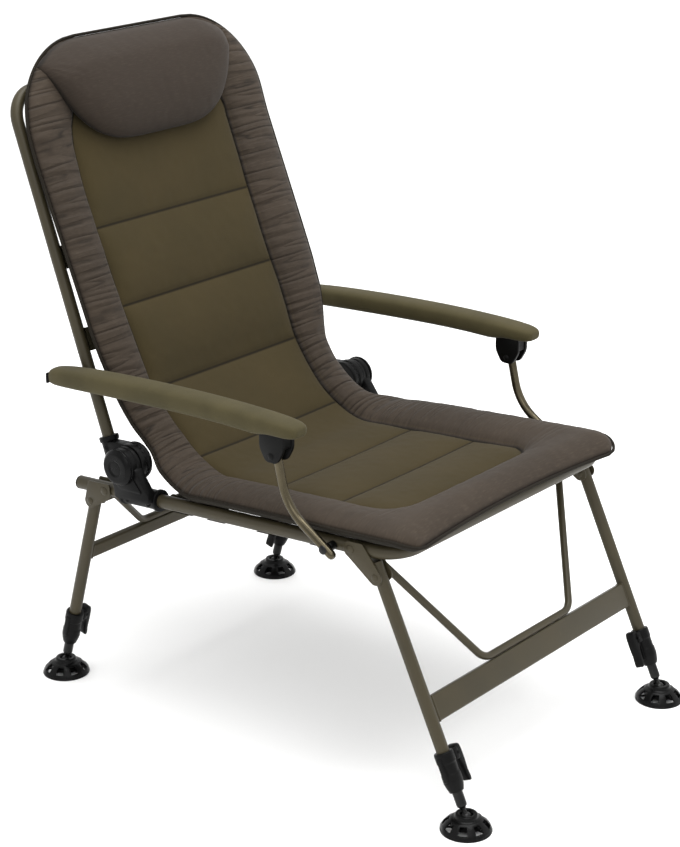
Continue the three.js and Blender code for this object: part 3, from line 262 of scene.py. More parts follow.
def makePadCloth(name, c):
    f = Finish(name)
    uv = f.node("ShaderNodeUVMap", {"uv_map": "cloth"})
    edge = f.attribute("panelEdge")      # millimetres outside the quilted panel
    seam = f.attribute("seamLine")       # millimetres from the nearest cross seam
    rim = f.attribute("rimLine")         # millimetres inside the rim
    gather = f.attribute("gather")       # how densely the border is gathered
    across = f.node("ShaderNodeSeparateXYZ", None, 0, Vector=uv)
    along = f.node("ShaderNodeSeparateXYZ", None, 1, Vector=uv)
    weave = ((across * 4200.0).wave() * (along * 4200.0).wave()) * 0.5 + 0.5
    cloud = f.noise(uv, 5.0, 3.0, 0.6)
    nap = f.noise(uv, 600.0, 3.0, 0.7)
    slub = f.noise(f.stretched(uv, (70.0, 480.0, 1.0)), 1.0, 3.0, 0.65)
    border = f.mix(f.smooth(cloud, 0.3, 0.7), screen(*c["borderShade"]), screen(*c["border"]))
    border = f.mix(f.smooth(slub, 0.45, 0.8) * 0.34, border, screen(*c["borderLight"]))
    panel = f.mix(f.smooth(cloud, 0.3, 0.7), screen(*c["panelShade"]), screen(*c["panel"]))
    panel = f.mix(f.smooth(nap, 0.5, 0.9) * 0.3, panel, screen(*c["panelLight"]))
    outside = f.smooth(edge, -0.6, 0.6)
    color = f.mix(outside, panel, border)
    # painted shade: towards the cross seams and the panel's edge the cloth darkens to the thread colour, which stands
    # for dark thread and the shade in the seam gap
    nearSeam = 1.0 - f.smooth(seam, 0.2, 3.6)
    nearEdge = 1.0 - f.smooth(edge.absolute(), 0.5, 3.8)
    # painted shade: the cloth darkens within a few millimetres of the rim, where the edge turns under into shade
    rimShade = 1.0 - f.smooth(rim, 0.5, 5.5)
    wander = f.noise(f.stretched(uv, (4.0, 52.0, 1.0)), 1.0, 1.0, 0.4, 0.1)  # folds square to the long seams
    # painted shade in the creases of the gathered border: thin dark lines along the folds
    creaseShade = 1.0 - f.smooth((wander - 0.5).absolute(), 0.0, 0.03)
    patch = f.smooth(f.noise(f.stretched(uv, (24.0, 60.0, 1.0)), 1.0, 1.0), 0.44, 0.62)
    creaseShade = creaseShade * patch * gather * outside
    stitchEdge = ((edge - 4.5).absolute().below(0.5)) * ((along * 180.0).wrapped().below(0.62))
    # the strongest darkening wins: painted shade along the rim and in the creases, dark thread with painted shade at
    # the seams
    dark = (nearSeam * 0.8).atLeast(nearEdge * 0.9).atLeast(rimShade * 0.8).atLeast(creaseShade * 0.62)
    color = f.mix(dark, color, screen(*c["threadAndShade"]))
    color = f.mix(stitchEdge * 0.22, color, screen(*c["panelLight"]))
    fold = f.bump((wander - 0.5).absolute().atMost(0.12) * 8.0 * gather * outside, 0.0045, 0.8)
    height = weave * 0.05 + slub * 0.05 * outside + nap * 0.06 * (1.0 - outside)
    return f.shade(Base_Color=color, Roughness=f.smooth(outside, 0.0, 1.0, 0.9, 0.75), Specular_IOR_Level=0.12,
                   Sheen_Weight=0.04, Normal=f.bump(height, 0.0012, 0.5, fold))


def makeDark(name, tone, roughness):
    f = Finish(name)
    uv = f.object()
    nap = f.noise(uv, 500.0, 3.0, 0.7)
    cloud = f.noise(uv, 12.0, 4.0)
    color = f.mix(cloud, screen(*tone), screen(*[v * 1.5 for v in tone]))
    return f.shade(Base_Color=color, Roughness=roughness, Specular_IOR_Level=0.15, Normal=f.bump(nap, 0.0006, 0.5))


oliveMetal = makePaint("olivePaint", paint["olive"], paint["worn"], paint["dark"], paint["roughness"])
blackPlastic = makePlastic("blackPlastic", plastic["black"], plastic["dust"], plastic["roughness"])
glossPlastic = makePlastic("glossPlastic", gloss["black"], gloss["dust"], gloss["roughness"])
postMetal = makeMetal("postMetal", metal["post"], metal["streak"], metal["roughness"])
blackMetal = makeMetal("blackMetal", steel["black"], steel["streak"], steel["roughness"], steel["metallic"])
webbing = makeWebbing("webbing", webCloth["tone"], webCloth["light"])
sleeveCloth = makeSleeve("sleeveCloth", armCloth["tone"], armCloth["shade"], armCloth["light"])
padFabric = makePadCloth("padCloth", padCloth)
cushionFabric = makePadCloth("cushionCloth", pillowCloth)
backing = makeDark("backing", padCloth["backing"], 0.9)
cordCloth = makeDark("cordCloth", padCloth["cord"], 0.8)
print("Finishes made")

# Shapes


def bendPath(corners, bend, steps=8):  # places and headings along straight runs and rounded corners
    points = [Vector(corner) for corner in corners]
    path = []
    for i, point in enumerate(points):
        before = (point - points[i - 1]).normalized() if i else None
        after = (points[i + 1] - point).normalized() if i < len(points) - 1 else None
        if before is None or after is None:
            path.append((point.copy(), before or after))
            continue
        turn = before.angle(after)
        start = point - before * (bend * math.tan(turn / 2))
        inward = (after - before * after.dot(before)).normalized()
        for step in range(steps + 1):
            angle = turn * step / steps
            path.append((start + before * (bend * math.sin(angle)) + inward * (bend * (1 - math.cos(angle))),
                         before * math.cos(angle) + inward * math.sin(angle)))
    return path


def sweepTube(bm, path, radius, sides=28, wall=0, sizes=None):
    place, heading = path[0]
    side = Vector((1, 0, 0)) if abs(heading.x) < 0.9 else Vector((0, 1, 0))
    third = heading.cross(side).normalized()
    side = third.cross(heading).normalized()
    turn = Matrix((side, third, heading)).transposed().to_4x4()
    size = sizes[0] if sizes else 1
    first = bmesh.ops.create_circle(bm, cap_ends=False, segments=sides, radius=radius * size,
                                    matrix=Matrix.Translation(place) @ turn)["verts"]
    edges = list({edge for vert in first for edge in vert.link_edges})
    ends = [edges]
    for i in range(1, len(path)):
        made = bmesh.ops.extrude_edge_only(bm, edges=edges)["geom"]
        ring = {item for item in made if isinstance(item, bmesh.types.BMVert)}
        edges = [item for item in made if isinstance(item, bmesh.types.BMEdge) and set(item.verts) <= ring]
        (fromPlace, fromHeading), (toPlace, toHeading) = path[i - 1], path[i]
        spin = fromHeading.rotation_difference(toHeading).to_matrix().to_4x4()
        grow = sizes[i] / sizes[i - 1] if sizes else 1
        step = Matrix.Translation(toPlace) @ spin @ Matrix.Scale(grow, 4) @ Matrix.Translation(-fromPlace)
        bmesh.ops.transform(bm, matrix=step, verts=list(ring))
    ends.append(edges)
    for loop in ends:
        face = bmesh.ops.holes_fill(bm, edges=loop, sides=0)["faces"]
        if wall:
            bmesh.ops.inset_region(bm, faces=face, thickness=wall, use_even_offset=True)
            bmesh.ops.inset_region(bm, faces=face, thickness=0.05, depth=-radius * 1.5, use_even_offset=True)
    return bm


def softLine(points, radius, steps=3, closed=False):  # rounds the corners of a flat line
    points = [Vector(p) for p in points]
    count = len(points)
    line = []
    for i, point in enumerate(points):
        if not closed and i in (0, count - 1):
            line.append(point)
            continue
        before, after = points[i - 1] - point, points[(i + 1) % count] - point
        reach = min(radius, before.length * 0.45, after.length * 0.45)
        start, end = point + before.normalized() * reach, point + after.normalized() * reach
        for step in range(steps + 1):
            t = step / steps
            line.append(start * (1 - t) ** 2 + point * 2 * t * (1 - t) + end * t ** 2)
    return [tuple(p) for p in line]


def turned(profile, sides=40, soft=0.6):  # a profile of radius and height spun round Z
    bm = bmesh.new()
    line = softLine(profile, soft) if soft else profile
    verts = [bm.verts.new((radius, 0, height)) for radius, height in line]
    edges = [bm.edges.new(pair) for pair in zip(verts, verts[1:])]
    bmesh.ops.spin(bm, geom=verts + edges, cent=(0, 0, 0), axis=(0, 0, 1), angle=2 * math.pi, steps=sides,
                   use_merge=True)
    bmesh.ops.remove_doubles(bm, verts=bm.verts, dist=1e-3)
    bmesh.ops.recalc_face_normals(bm, faces=bm.faces)
    return bm


def moved(bm, matrix):
    bmesh.ops.transform(bm, matrix=matrix, verts=bm.verts)
    return bm


toX = Matrix.Rotation(math.pi / 2, 4, "Y")     # what stood along Z lies along X
toY = Matrix.Rotation(-math.pi / 2, 4, "X")


def plateOf(points, fromX, tillX, edge=0.5):  # a plate drawn in y and z
    bm = bmesh.new()
    face = bm.faces.new([bm.verts.new((fromX, y, z)) for y, z in points])
    made = bmesh.ops.extrude_face_region(bm, geom=[face])["geom"]
    bmesh.ops.translate(bm, vec=(tillX - fromX, 0, 0), verts=[v for v in made if isinstance(v, bmesh.types.BMVert)])
    bmesh.ops.recalc_face_normals(bm, faces=bm.faces)
    if edge:
        rims = [e for e in bm.edges if len(e.link_faces) == 2 and e.calc_face_angle() > 1.2]
        bmesh.ops.bevel(bm, geom=rims, offset=edge, segments=2, profile=0.5, affect="EDGES", material=-1)
    return bm


def blockOf(low, high, edge=1.0, segments=3):
    bm = bmesh.new()
    bmesh.ops.create_cube(bm, size=1)
    size = [b - a for a, b in zip(low, high)]
    middle = [(a + b) / 2 for a, b in zip(low, high)]
    moved(bm, Matrix.Translation(middle) @ Matrix.Diagonal((*size, 1)))
    bmesh.ops.bevel(bm, geom=list(bm.edges), offset=edge, segments=segments, profile=0.5, affect="EDGES", material=-1)
    return bm


def arc(y, z, radius, start, end, steps=10):
    return [(y + radius * math.cos(start + (end - start) * i / steps),
             z + radius * math.sin(start + (end - start) * i / steps)) for i in range(steps + 1)]


def joined(*shapes):
    whole = bmesh.new()
    for shape in shapes:
        mesh = bpy.data.meshes.new("part")
        shape.to_mesh(mesh)
        shape.free()
        whole.from_mesh(mesh)
        bpy.data.meshes.remove(mesh)
    return whole


def flipped(place):
    return Vector((-place.x, place.y, place.z))


def mirroredOf(bm):
    moved(bm, Matrix.Diagonal((-1, 1, 1, 1)))
    bmesh.ops.reverse_faces(bm, faces=bm.faces)
    return bm


def finishMesh(piece, angle=38):
    piece.data.polygons.foreach_set("use_smooth", [True] * len(piece.data.polygons))
    piece.data.set_sharp_from_angle(angle=math.radians(angle))


def addPiece(name, bm, where, body, material, nodes=(), angle=38):
    moved(bm, where)
    mesh = bpy.data.meshes.new(name)
    bm.to_mesh(mesh)
    bm.free()
    piece = bpy.data.objects.new(name, mesh)
    bpy.context.collection.objects.link(piece)
    mesh.materials.append(material)
    finishMesh(piece, angle)
    if body:
        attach(piece, body)
    if nodes:
        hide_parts(*nodes)
    return piece


def addPair(name, make, where, body, material, node=None, angle=38):  # body takes {side}
    made = []
    for side in ("left", "right"):
        bm = make()
        if side == "right":
            mirroredOf(bm)
        made.append(addPiece(f"{name}_{side}", bm, where, body.format(side=side), material,
                             [f"{node}_{side}"] if node else [], angle))
    return made


def rodAcross(radius, fromX, tillX, y, z, sides=24, soft=0.5):
    return moved(turned([(0, 0), (radius, 0), (radius, tillX - fromX), (0, tillX - fromX)], sides, soft),
                 Matrix.Translation((fromX, y, z)) @ toX)


def domeAcross(radius, height, x, y, z, outwards=1, sides=24):  # a rivet head on a plate
    rise = [(radius * math.sin(a * math.pi / 14), height * math.cos(a * math.pi / 14)) for a in range(8)]
    flip = toX if outwards > 0 else Matrix.Rotation(-math.pi / 2, 4, "Y")
    return moved(turned(rise + [(0, 0)], sides, 0), Matrix.Translation((x, y, z)) @ flip)


# Camera and light
view = {  # the focal length is in pixels of a picture 847 high, seen on a sensor of 36 mm
    "azimuth": -51.08, "elevation": 19.74, "focus": 2182, "picture": 847, "sensor": 36,
    "distance": 3662, "right": -27.6, "up": 436.8,
}
studio = {"floor": (0.97, 0.97, 0.965), "floorReach": 40, "world": 1.12}
lamps = {  # metres and watts
    "keyLight": {"size": 2.6, "energy": 42, "place": (-2.4, -2.2, 3.4), "target": (0, 0, 0.5)},
    "fillLight": {"size": 3.0, "energy": 10, "place": (3.2, -2.6, 2.2), "target": (0, 0, 0.4)},
    "topLight": {"size": 3.0, "energy": 160, "place": (0.2, -0.3, 4.2), "target": (0, 0, 0.5)},
}


def setCamera():
    a, e = math.radians(view["azimuth"]), math.radians(view["elevation"])
    back = Vector((math.sin(a) * math.cos(e), -math.cos(a) * math.cos(e), math.sin(e)))
    right = Vector((0, 0, 1)).cross(back).normalized()
    up = back.cross(right)
    place = back * view["distance"] + right * view["right"] + up * view["up"] + Vector((0, chair["shift"], 0))
    camera = bpy.data.objects.new("photoCamera", bpy.data.cameras.new("photoCamera"))
    bpy.context.collection.objects.link(camera)
    camera.matrix_world = Matrix.Translation(place * mm) @ Matrix((right, up, back)).transposed().to_4x4()
    camera.data.lens = view["focus"] / view["picture"] * view["sensor"]
    camera.data.clip_end = 200
    bpy.context.scene.camera = camera


def addLamp(name, size, energy, place, target):
    lamp = bpy.data.objects.new(name, bpy.data.lights.new(name, "AREA"))
    lamp.data.shape = "SQUARE"
    lamp.data.size = size
    lamp.data.energy = energy
    bpy.context.collection.objects.link(lamp)
    aim = (Vector(target) - Vector(place)).to_track_quat("-Z", "Y")
    lamp.matrix_world = Matrix.Translation(place) @ aim.to_matrix().to_4x4()


def setStudio():
    bm = bmesh.new()
    bmesh.ops.create_grid(bm, x_segments=4, y_segments=4, size=studio["floorReach"])
    mesh = bpy.data.meshes.new("floor")
    bm.to_mesh(mesh)
    bm.free()
    floor = bpy.data.objects.new("floor", mesh)
    bpy.context.collection.objects.link(floor)
    f = Finish("floorPaper")
    mesh.materials.append(f.shade(Base_Color=(*studio["floor"], 1), Roughness=0.9))
    world = bpy.data.worlds.new("studio")
    world.use_nodes = True
    world.node_tree.nodes["Background"].inputs[0].default_value = (1, 1, 1, 1)
    world.node_tree.nodes["Background"].inputs[1].default_value = studio["world"]
    bpy.context.scene.world = world
    for name, lamp in lamps.items():
        addLamp(name, lamp["size"], lamp["energy"], lamp["place"], lamp["target"])
    bpy.context.scene.view_settings.view_transform = "Standard"


setCamera()
setStudio()
print("Camera and light set")

# Seat frame
seatTube = {"front": 291, "rear": 358, "radius": 11, "bend": 45, "crossStation": 160, "crossRadius": 9}


def makeSeatTube():
    r = railHalf
    path = bendPath([(r, seatTube["rear"], 0), (r, -seatTube["front"], 0),
                     (-r, -seatTube["front"], 0), (-r, seatTube["rear"], 0)], seatTube["bend"], 12)
    return sweepTube(bmesh.new(), path, seatTube["radius"], 36)


def makeCrossTube():
    reach = railHalf - seatTube["radius"] - 0.2
    r = seatTube["crossRadius"]
    weld = [moved(turned([(r, 0), (r + 2.6, 0), (r + 1.6, 2.2), (r, 3.4)], 32, 0.8),
                  Matrix.Translation((side * (reach + 0.3), seatTube["crossStation"], 0))
                  @ Matrix.Rotation(-side * math.pi / 2, 4, "Y")) for side in (1, -1)]
    ends = [(-reach, seatTube["crossStation"], 0), (reach, seatTube["crossStation"], 0)]
    tube = sweepTube(bmesh.new(), bendPath(ends, 1), r, 28)
    return joined(tube, *weld)


def makeRailPlug():
    return moved(turned([(0, -6), (9.4, -6), (9.4, 0.2), (11.1, 0.2), (11.3, 1.6), (10.2, 3.2), (0, 3.6)], 32, 0.8),
                 Matrix.Translation((railHalf, seatTube["rear"], 0)) @ toY)


addPiece("seat_rails", makeSeatTube(), seatFrame, "seat", oliveMetal, ["seat_tube"])
addPiece("seat_cross_tube", makeCrossTube(), seatFrame, "seat", oliveMetal, ["rear_cross_tube"])
addPair("rail_end", makeRailPlug, seatFrame, "seat", blackPlastic, "rail_plug")

# Recline hinge
hinge = {
    "inner": 256.7, "disc": 31, "discWidth": 24, "barrel": 29, "barrelWidth": 22, "cap": 30, "capWidth": 9,
    "clamp": 16, "clampFront": 178, "clampRear": 258, "ribs": 22,
    "socket": 14, "socketLow": 10, "socketHigh": 48,
}


def makeHousing():
    r, w = hinge["barrel"], hinge["barrelWidth"]
    grip, front, rear = hinge["clamp"], hinge["clampFront"], hinge["clampRear"]
    bore = seatTube["radius"] + 0.3
    start = hinge["inner"] + hinge["discWidth"] + 0.3
    y, z = chair["hingeStation"], chair["hingeRise"]
    barrel = moved(turned([(0, 0), (r - 1.5, 0), (r, 1.5), (r, 7), (r - 1.6, 8), (r - 1.6, 11), (r, 12), (r, w - 2),
                           (r - 2, w), (0, w)], 56, 0.9), Matrix.Translation((start, y, z)) @ toX)
    web = plateOf(softLine([(y - r + 1, z + 2), (front + 2, grip - 3), (front + 2, 0), (rear - 2, 0),
                            (rear - 2, grip - 3), (y + r * 0.9, z - r * 0.4)], 8, 4, True), start, start + 18, 2.5)
    cheek = plateOf(softLine([(y - r * 0.62, z - 6), (front + 14, grip), (rear - 14, grip), (y + r * 0.55, z - 10)],
                             6, 4, True), start + 17, start + 20, 1.2)
    clampLine = [(bore, front), (grip + 1.4, front), (grip + 2, front + 1), (grip + 2, front + 6), (grip, front + 7),
                 (grip, rear - 7), (grip + 2, rear - 6), (grip + 2, rear - 1), (grip + 1, rear), (bore, rear),
                 (bore, front)]
    clamp = moved(turned(clampLine, 44, 0.8), Matrix.Translation((railHalf, 0, 0)) @ toY)
    screws = [domeAcross(4.4, 2.2, railHalf + grip - 0.6, station, -5, 1, 20) for station in (front + 16, rear - 18)]
    return joined(barrel, web, cheek, clamp, *screws)


def makeCap():
    start = hinge["inner"] + hinge["discWidth"] + hinge["barrelWidth"] + 0.6
    r, w = hinge["cap"], hinge["capWidth"]
    return moved(turned([(0, 0), (r - 0.6, 0), (r, 1), (r - 0.4, 3.6), (r - 2.6, 6.2), (r * 0.8, w),
                         (r * 0.72, w + 0.3), (13.6, w + 0.5), (12.6, w - 0.4), (11.4, w - 1.6), (9.6, w - 1.2),
                         (0, w - 0.6)], 64, 1.0),
                 Matrix.Translation((start, chair["hingeStation"], chair["hingeRise"])) @ toX)


def makeHingeBolt():
    x, y, z = hinge["inner"] - 0.3, chair["hingeStation"], chair["hingeRise"]
    washer = rodAcross(11, x - 1.5, x, y, z, 32, 0.4)
    nut = rodAcross(9, x - 6.5, x - 1.5, y, z, 6, 0)
    tip = rodAcross(5, x - 9, x - 6.5, y, z, 20, 0.8)
    return joined(washer, nut, tip)


def makeHingeArm():
    inner, outer = hinge["inner"], hinge["inner"] + hinge["discWidth"]
    r = hinge["disc"]
    disc = moved(turned([(0, 0), (r - 3, 0), (r - 1, 0.8), (r, 2.4), (r, 8), (r - 1.8, 9), (r - 1.8, 14), (r, 15),
                         (r, outer - inner - 1), (r - 1, outer - inner), (0, outer - inner)], 60, 0.9),
                 Matrix.Translation((inner, 0, 0)) @ toX)
    grips = []
    for i in range(hinge["ribs"]):  # short ribs in the groove round the disc
        turn = 2 * math.pi * i / hinge["ribs"]
        rib = blockOf((inner + 9.2, -1.1, r - 2.4), (inner + 13.8, 1.1, r - 0.5), 0.5, 2)
        grips.append(moved(rib, Matrix.Rotation(turn, 4, "X")))
    s, back = hinge["socket"], chair["backSetback"]
    low, high = hinge["socketLow"], hinge["socketHigh"]
    socket = moved(turned([(0, low - 3), (s - 4, low - 2), (s, low + 3), (s, high - 9), (s + 2, high - 8),
                           (s + 2.2, high - 1), (s + 1.2, high), (10.4, high), (10.4, high - 4)], 40, 0.9),
                   Matrix.Translation((backHalf, back, 0)))
    web = plateOf(softLine([(0, -r * 0.85), (back * 0.7, 2), (back + 4, low + 2), (back + 4, high - 9),
                            (back - s, high - 9), (-r * 0.3, r * 0.9)], 7, 4, True), inner + 2, outer - 2, 2.2)
    screw = domeAcross(4, 2.2, backHalf + s - 0.6, back, 30, 1, 20)
    return joined(disc, socket, web, screw, *grips)


addPair("hinge_shell", makeHousing, seatFrame, "seat", blackPlastic, "hinge_housing")
addPair("hinge_cover", makeCap, seatFrame, "seat", glossPlastic, "hinge_cap")
addPair("hinge_pin", makeHingeBolt, seatFrame, "seat", blackMetal, "hinge_bolt")
addPair("hinge_disc", makeHingeArm, backFrame, "back", blackPlastic, "hinge_arm")
print("Seat frame and hinges made")

# Back frame
backTube = {"height": 608, "radius": 10, "bend": 48, "bottom": 12}


def makeBackTube():
    b, back = backHalf, chair["backSetback"]
    path = bendPath([(b, back, backTube["bottom"]), (b, back, backTube["height"]), (-b, back, backTube["height"]),
                     (-b, back, backTube["bottom"])], backTube["bend"], 12)
    return sweepTube(bmesh.new(), path, backTube["radius"], 36)


def makeArmBolt():
    x = backHalf - backTube["radius"]
    y, z = chair["backSetback"], chair["armStation"]
    shank = rodAcross(4, x - 2, armHalf, y, z, 20)
    spacer = rodAcross(7.5, backHalf + backTube["radius"] - 0.4, backHalf + backTube["radius"] + 2.2, y, z, 28, 0.6)
    return joined(shank, spacer, domeAcross(7, 3, x - 0.1, y, z, -1))


addPiece("back_hoop", makeBackTube(), backFrame, "back", oliveMetal, ["back_tube"])
addPair("arm_pivot", makeArmBolt, backFrame, "back", blackMetal, "arm_bolt")

# Armrests
arm = {
    "rise": 3.1, "coreFront": 440, "coreRear": 38, "length": 514, "rear": 46, "width": 46, "height": 30,
    "square": 0.66, "barHalf": 13, "blockLength": 46, "blockWidth": 28,
}
post = {"radius": 7, "bend": 90, "backLean": 13.4, "footLean": 32.8, "overTop": 6, "pastBolt": 16}
blockY, blockZ = postY - hingeY, postZ - hingeZ
armSlope = math.tan(math.radians(arm["rise"]))


def armLine(y):
    return -y * armSlope


def squared(share):  # fills a round section out towards its corners
    return math.copysign(abs(share) ** arm["square"], share)


def makeSleeveShape():
    stations = [  # share of the length from the rear, of the width, and twice of the height: size and lift
        (0, 0.6, 0.75, 0.04), (0.012, 0.78, 1.0, 0.06), (0.09, 0.94, 1.12, 0.12), (0.235, 1.02, 1.16, 0.17),
        (0.46, 1.04, 1.16, 0.16), (0.67, 1.04, 1.12, 0.08), (0.8, 1.04, 1.12, -0.06), (0.85, 1.03, 1.16, -0.14),
        (0.885, 1.02, 0.95, -0.1), (0.93, 1.0, 0.88, -0.15), (0.965, 0.94, 0.84, -0.21), (0.992, 0.78, 0.66, -0.25),
        (1.0, 0.5, 0.4, -0.27),
    ]
    bm = bmesh.new()
    loops = []
    sides = 20
    for along, wide, high, lift in stations:
        y = arm["rear"] - arm["length"] * along
        ring = bmesh.ops.create_circle(bm, cap_ends=False, segments=sides, radius=1)["verts"]
        for vert in ring:
            turn = math.atan2(vert.co.y, vert.co.x)
            c, s = math.cos(turn), math.sin(turn)
            vert.co = (armHalf + squared(c) * arm["width"] * wide / 2, y,
                       armLine(y) + arm["height"] * (lift + squared(s) * high / 2))
        loops.append(list({edge for vert in ring for edge in vert.link_edges}))
    for first, second in zip(loops, loops[1:]):
        bmesh.ops.bridge_loops(bm, edges=first + second)
    for loop in (loops[0], loops[-1]):
        face = bmesh.ops.holes_fill(bm, edges=loop, sides=0)["faces"]
        bmesh.ops.inset_region(bm, faces=face, thickness=4, use_even_offset=True)
    bmesh.ops.recalc_face_normals(bm, faces=bm.faces)
    return bm


def makeArmCore():
    w, front, rear = arm["barHalf"], -arm["coreFront"], arm["coreRear"] + 7.5
    bar = blockOf((-w, front, -7), (w, rear, 5.5), 2.5)
    shear = Matrix.Identity(4)
    shear[2][1] = -armSlope
    cap = blockOf((-w - 2.4, arm["rear"] + 0.4, -10), (w + 2.4, arm["rear"] + 5, 7.5), 2.2)
    return moved(joined(bar, cap), Matrix.Translation((armHalf, 0, 0)) @ shear)


def makeArmBlock():
    front, rear = blockY - arm["blockLength"] / 2, blockY + arm["blockLength"] / 2
    low = blockZ - 10
    points = softLine([(front, armLine(front) - 7.4), (front, blockZ + 11), (blockY - 11, low), (blockY + 11, low),
                       (rear, blockZ + 11), (rear, armLine(rear) - 7.4)], 7, 4, True)
    half = arm["blockWidth"] / 2
    cheeks = [plateOf(points, armHalf + a, armHalf + b, 1.2) for a, b in ((-half, -7.6), (7.6, half))]
    bridge = plateOf(softLine([(front + 2, armLine(front) - 7.6), (front + 2, blockZ + 13), (rear - 2, blockZ + 13),
                               (rear - 2, armLine(rear) - 7.6)], 3, 3, True), armHalf - 8, armHalf + 8, 0)
    pin = rodAcross(3, armHalf - half - 0.4, armHalf + half + 0.4, blockY, blockZ, 20)
    heads = [domeAcross(5.2, 2.2, armHalf + side * half, blockY, blockZ, side) for side in (1, -1)]
    return joined(*cheeks, bridge, pin, *heads)


def makePost():
    upper, lower = math.radians(post["backLean"]), math.radians(post["footLean"])
    back, climb = math.tan(upper), math.tan(lower)
    drop = (linkZ - climb * linkY) / (1 - climb * back)
    top, tail = post["overTop"] * math.cos(upper), post["pastBolt"] * math.cos(lower)
    path = bendPath([(armHalf, linkY + back * top, linkZ + top), (armHalf, linkY - back * drop, linkZ - drop),
                     (armHalf, -tail, -tail * climb)], post["bend"], 18)
    end, heading = path[-1]
    sizes = [1] * len(path)
    for reach, size in ((2.5, 0.94), (5, 0.78), (6.6, 0.5)):  # domed lower end
        path.append((end + heading * (reach - 3.5), heading))
        sizes.append(size)
    path[-4] = (end - heading * 3.6, heading)
    return sweepTube(bmesh.new(), path, post["radius"], 28, 0, sizes)


def makePostBolt():
    inner = railHalf - seatTube["radius"]
    outer = armHalf + post["radius"]
    shank = rodAcross(4, inner, outer, 0, 0, 20)
    spacer = rodAcross(7, railHalf + seatTube["radius"] + 0.1, armHalf - 6.6, 0, 0, 28, 0.6)
    return joined(shank, spacer, domeAcross(7.2, 3.2, outer - 0.3, 0, 0, 1),
                  domeAcross(7, 3, inner + 0.2, 0, 0, -1))


sleeves = addPair("arm_pad", makeSleeveShape, armFrame, "arm_{side}", sleeveCloth, "arm_sleeve", 180)
for sleeve in sleeves:
    smoothing = sleeve.modifiers.new("soft", "SUBSURF")
    smoothing.levels = smoothing.render_levels = 2
addPair("arm_bar", makeArmCore, armFrame, "arm_{side}", blackPlastic, "arm_core")
addPair("arm_clevis", makeArmBlock, armFrame, "arm_{side}", blackPlastic, "arm_block")
addPair("post", makePost, postFrame, "post_{side}", postMetal, "arm_post")
addPair("post_pin", makePostBolt, postFrame, "seat", blackMetal, "post_bolt")
print("Armrests and posts made")

# Leg frames
legs = {
    "front": {"station": -214, "lean": -25.4, "offset": -27.7, "top": 29, "drop": 263, "barHeight": 40, "barDepth": 13,
              "rivet": 50, "spread": 233},
    "rear": {"station": 292, "lean": 15.6, "offset": 25, "top": 25.5, "drop": 139.5, "barHeight": 26, "barDepth": 12,
             "rivet": 33, "spread": 288},
}
legSizes = {"radius": 10, "plate": 2.5, "cheek": 11.3, "plateTop": 12.5, "foot": 12, "brace": 6, "bend": 30}
ball = {"height": 20, "radius": 9, "collarTop": 104, "collar": 62, "lever": 10}


def plateEdge(y, legLean):
    slope = math.radians(-legLean - chair["railRise"])
    return y * math.tan(slope) + legSizes["plateTop"] / math.cos(slope)


def cheekPlates(points, legY, rivet, innerStack):
    inner, outer = legSizes["cheek"], legSizes["cheek"] + legSizes["plate"]
    plates = [plateOf(points, railHalf + inner, railHalf + outer), plateOf(points, railHalf - outer, railHalf - inner)]
    reach = railHalf - outer - innerStack
    return joined(*plates,
                  rodAcross(4, reach, railHalf + outer, 0, 0, 20), domeAcross(7, 3, railHalf + outer, 0, 0, 1),
                  domeAcross(7, 3, reach, 0, 0, -1),
                  rodAcross(3, railHalf - outer, railHalf + outer, legY, -rivet, 20),
                  domeAcross(6, 2.6, railHalf + outer, legY, -rivet, 1),
                  domeAcross(6, 2.6, railHalf - outer, legY, -rivet, -1))


def makeFrontPlates():
    leg = legs["front"]
    legY, foot = leg["offset"], legSizes["foot"]
    front = legY + 1.2
    tilt = math.radians(-leg["lean"] - chair["railRise"])
    points = [(front, plateEdge(front, leg["lean"])), (legY - foot, -leg["rivet"])]
    points += arc(legY, -leg["rivet"], foot, math.pi, math.pi * 1.85)
    points += arc(0, 0, legSizes["plateTop"], -math.pi * 0.25, math.pi / 2 + tilt, 12)
    points = softLine(points[:1] + points[2:], 2.5, 3, True)
    plates = cheekPlates(points, legY, leg["rivet"], 4.6)
    webY = legY + legSizes["radius"] + 0.3
    webZ = -leg["rivet"]
    web = plateOf([(webY, webZ), (webY + 2.5, webZ), (webY + 12.5, webZ + 20), (webY + 10, webZ + 20)],
                  railHalf - 12, railHalf + 12, 0)
    return joined(plates, web)


def makeRearPlates():
    leg = legs["rear"]
    legY, foot = leg["offset"], legSizes["foot"]
    points = [(-7.5, plateEdge(-7.5, leg["lean"])), (-13.5, 0), (-13.5, -9),
              (legY - foot * 0.75, -leg["rivet"] - foot * 0.5)]
    points += arc(legY, -leg["rivet"], foot, math.pi * 1.25, math.pi * 2)
    points += [(legY + foot, plateEdge(legY + foot, leg["lean"]))]
    return cheekPlates(softLine(points, 2.5, 3, True), legY, leg["rivet"], 0)


def reachOf(name):  # from the swing axis' level down the leg to the ball
    leg = legs[name]
    y, z = railPlace(leg["station"], 0)
    tilt = math.radians(leg["lean"])
    return y, z, tilt, (z + leg["offset"] * math.sin(tilt) - ball["height"]) / math.cos(tilt)


def makeLegTube(name):
    leg = legs[name]
    reach = reachOf(name)[3]
    path = bendPath([(railHalf, 0, -leg["top"]), (railHalf, 0, ball["collarTop"] - 43 - reach)], 1)
    return sweepTube(bmesh.new(), path, legSizes["radius"], 36, 1.4)


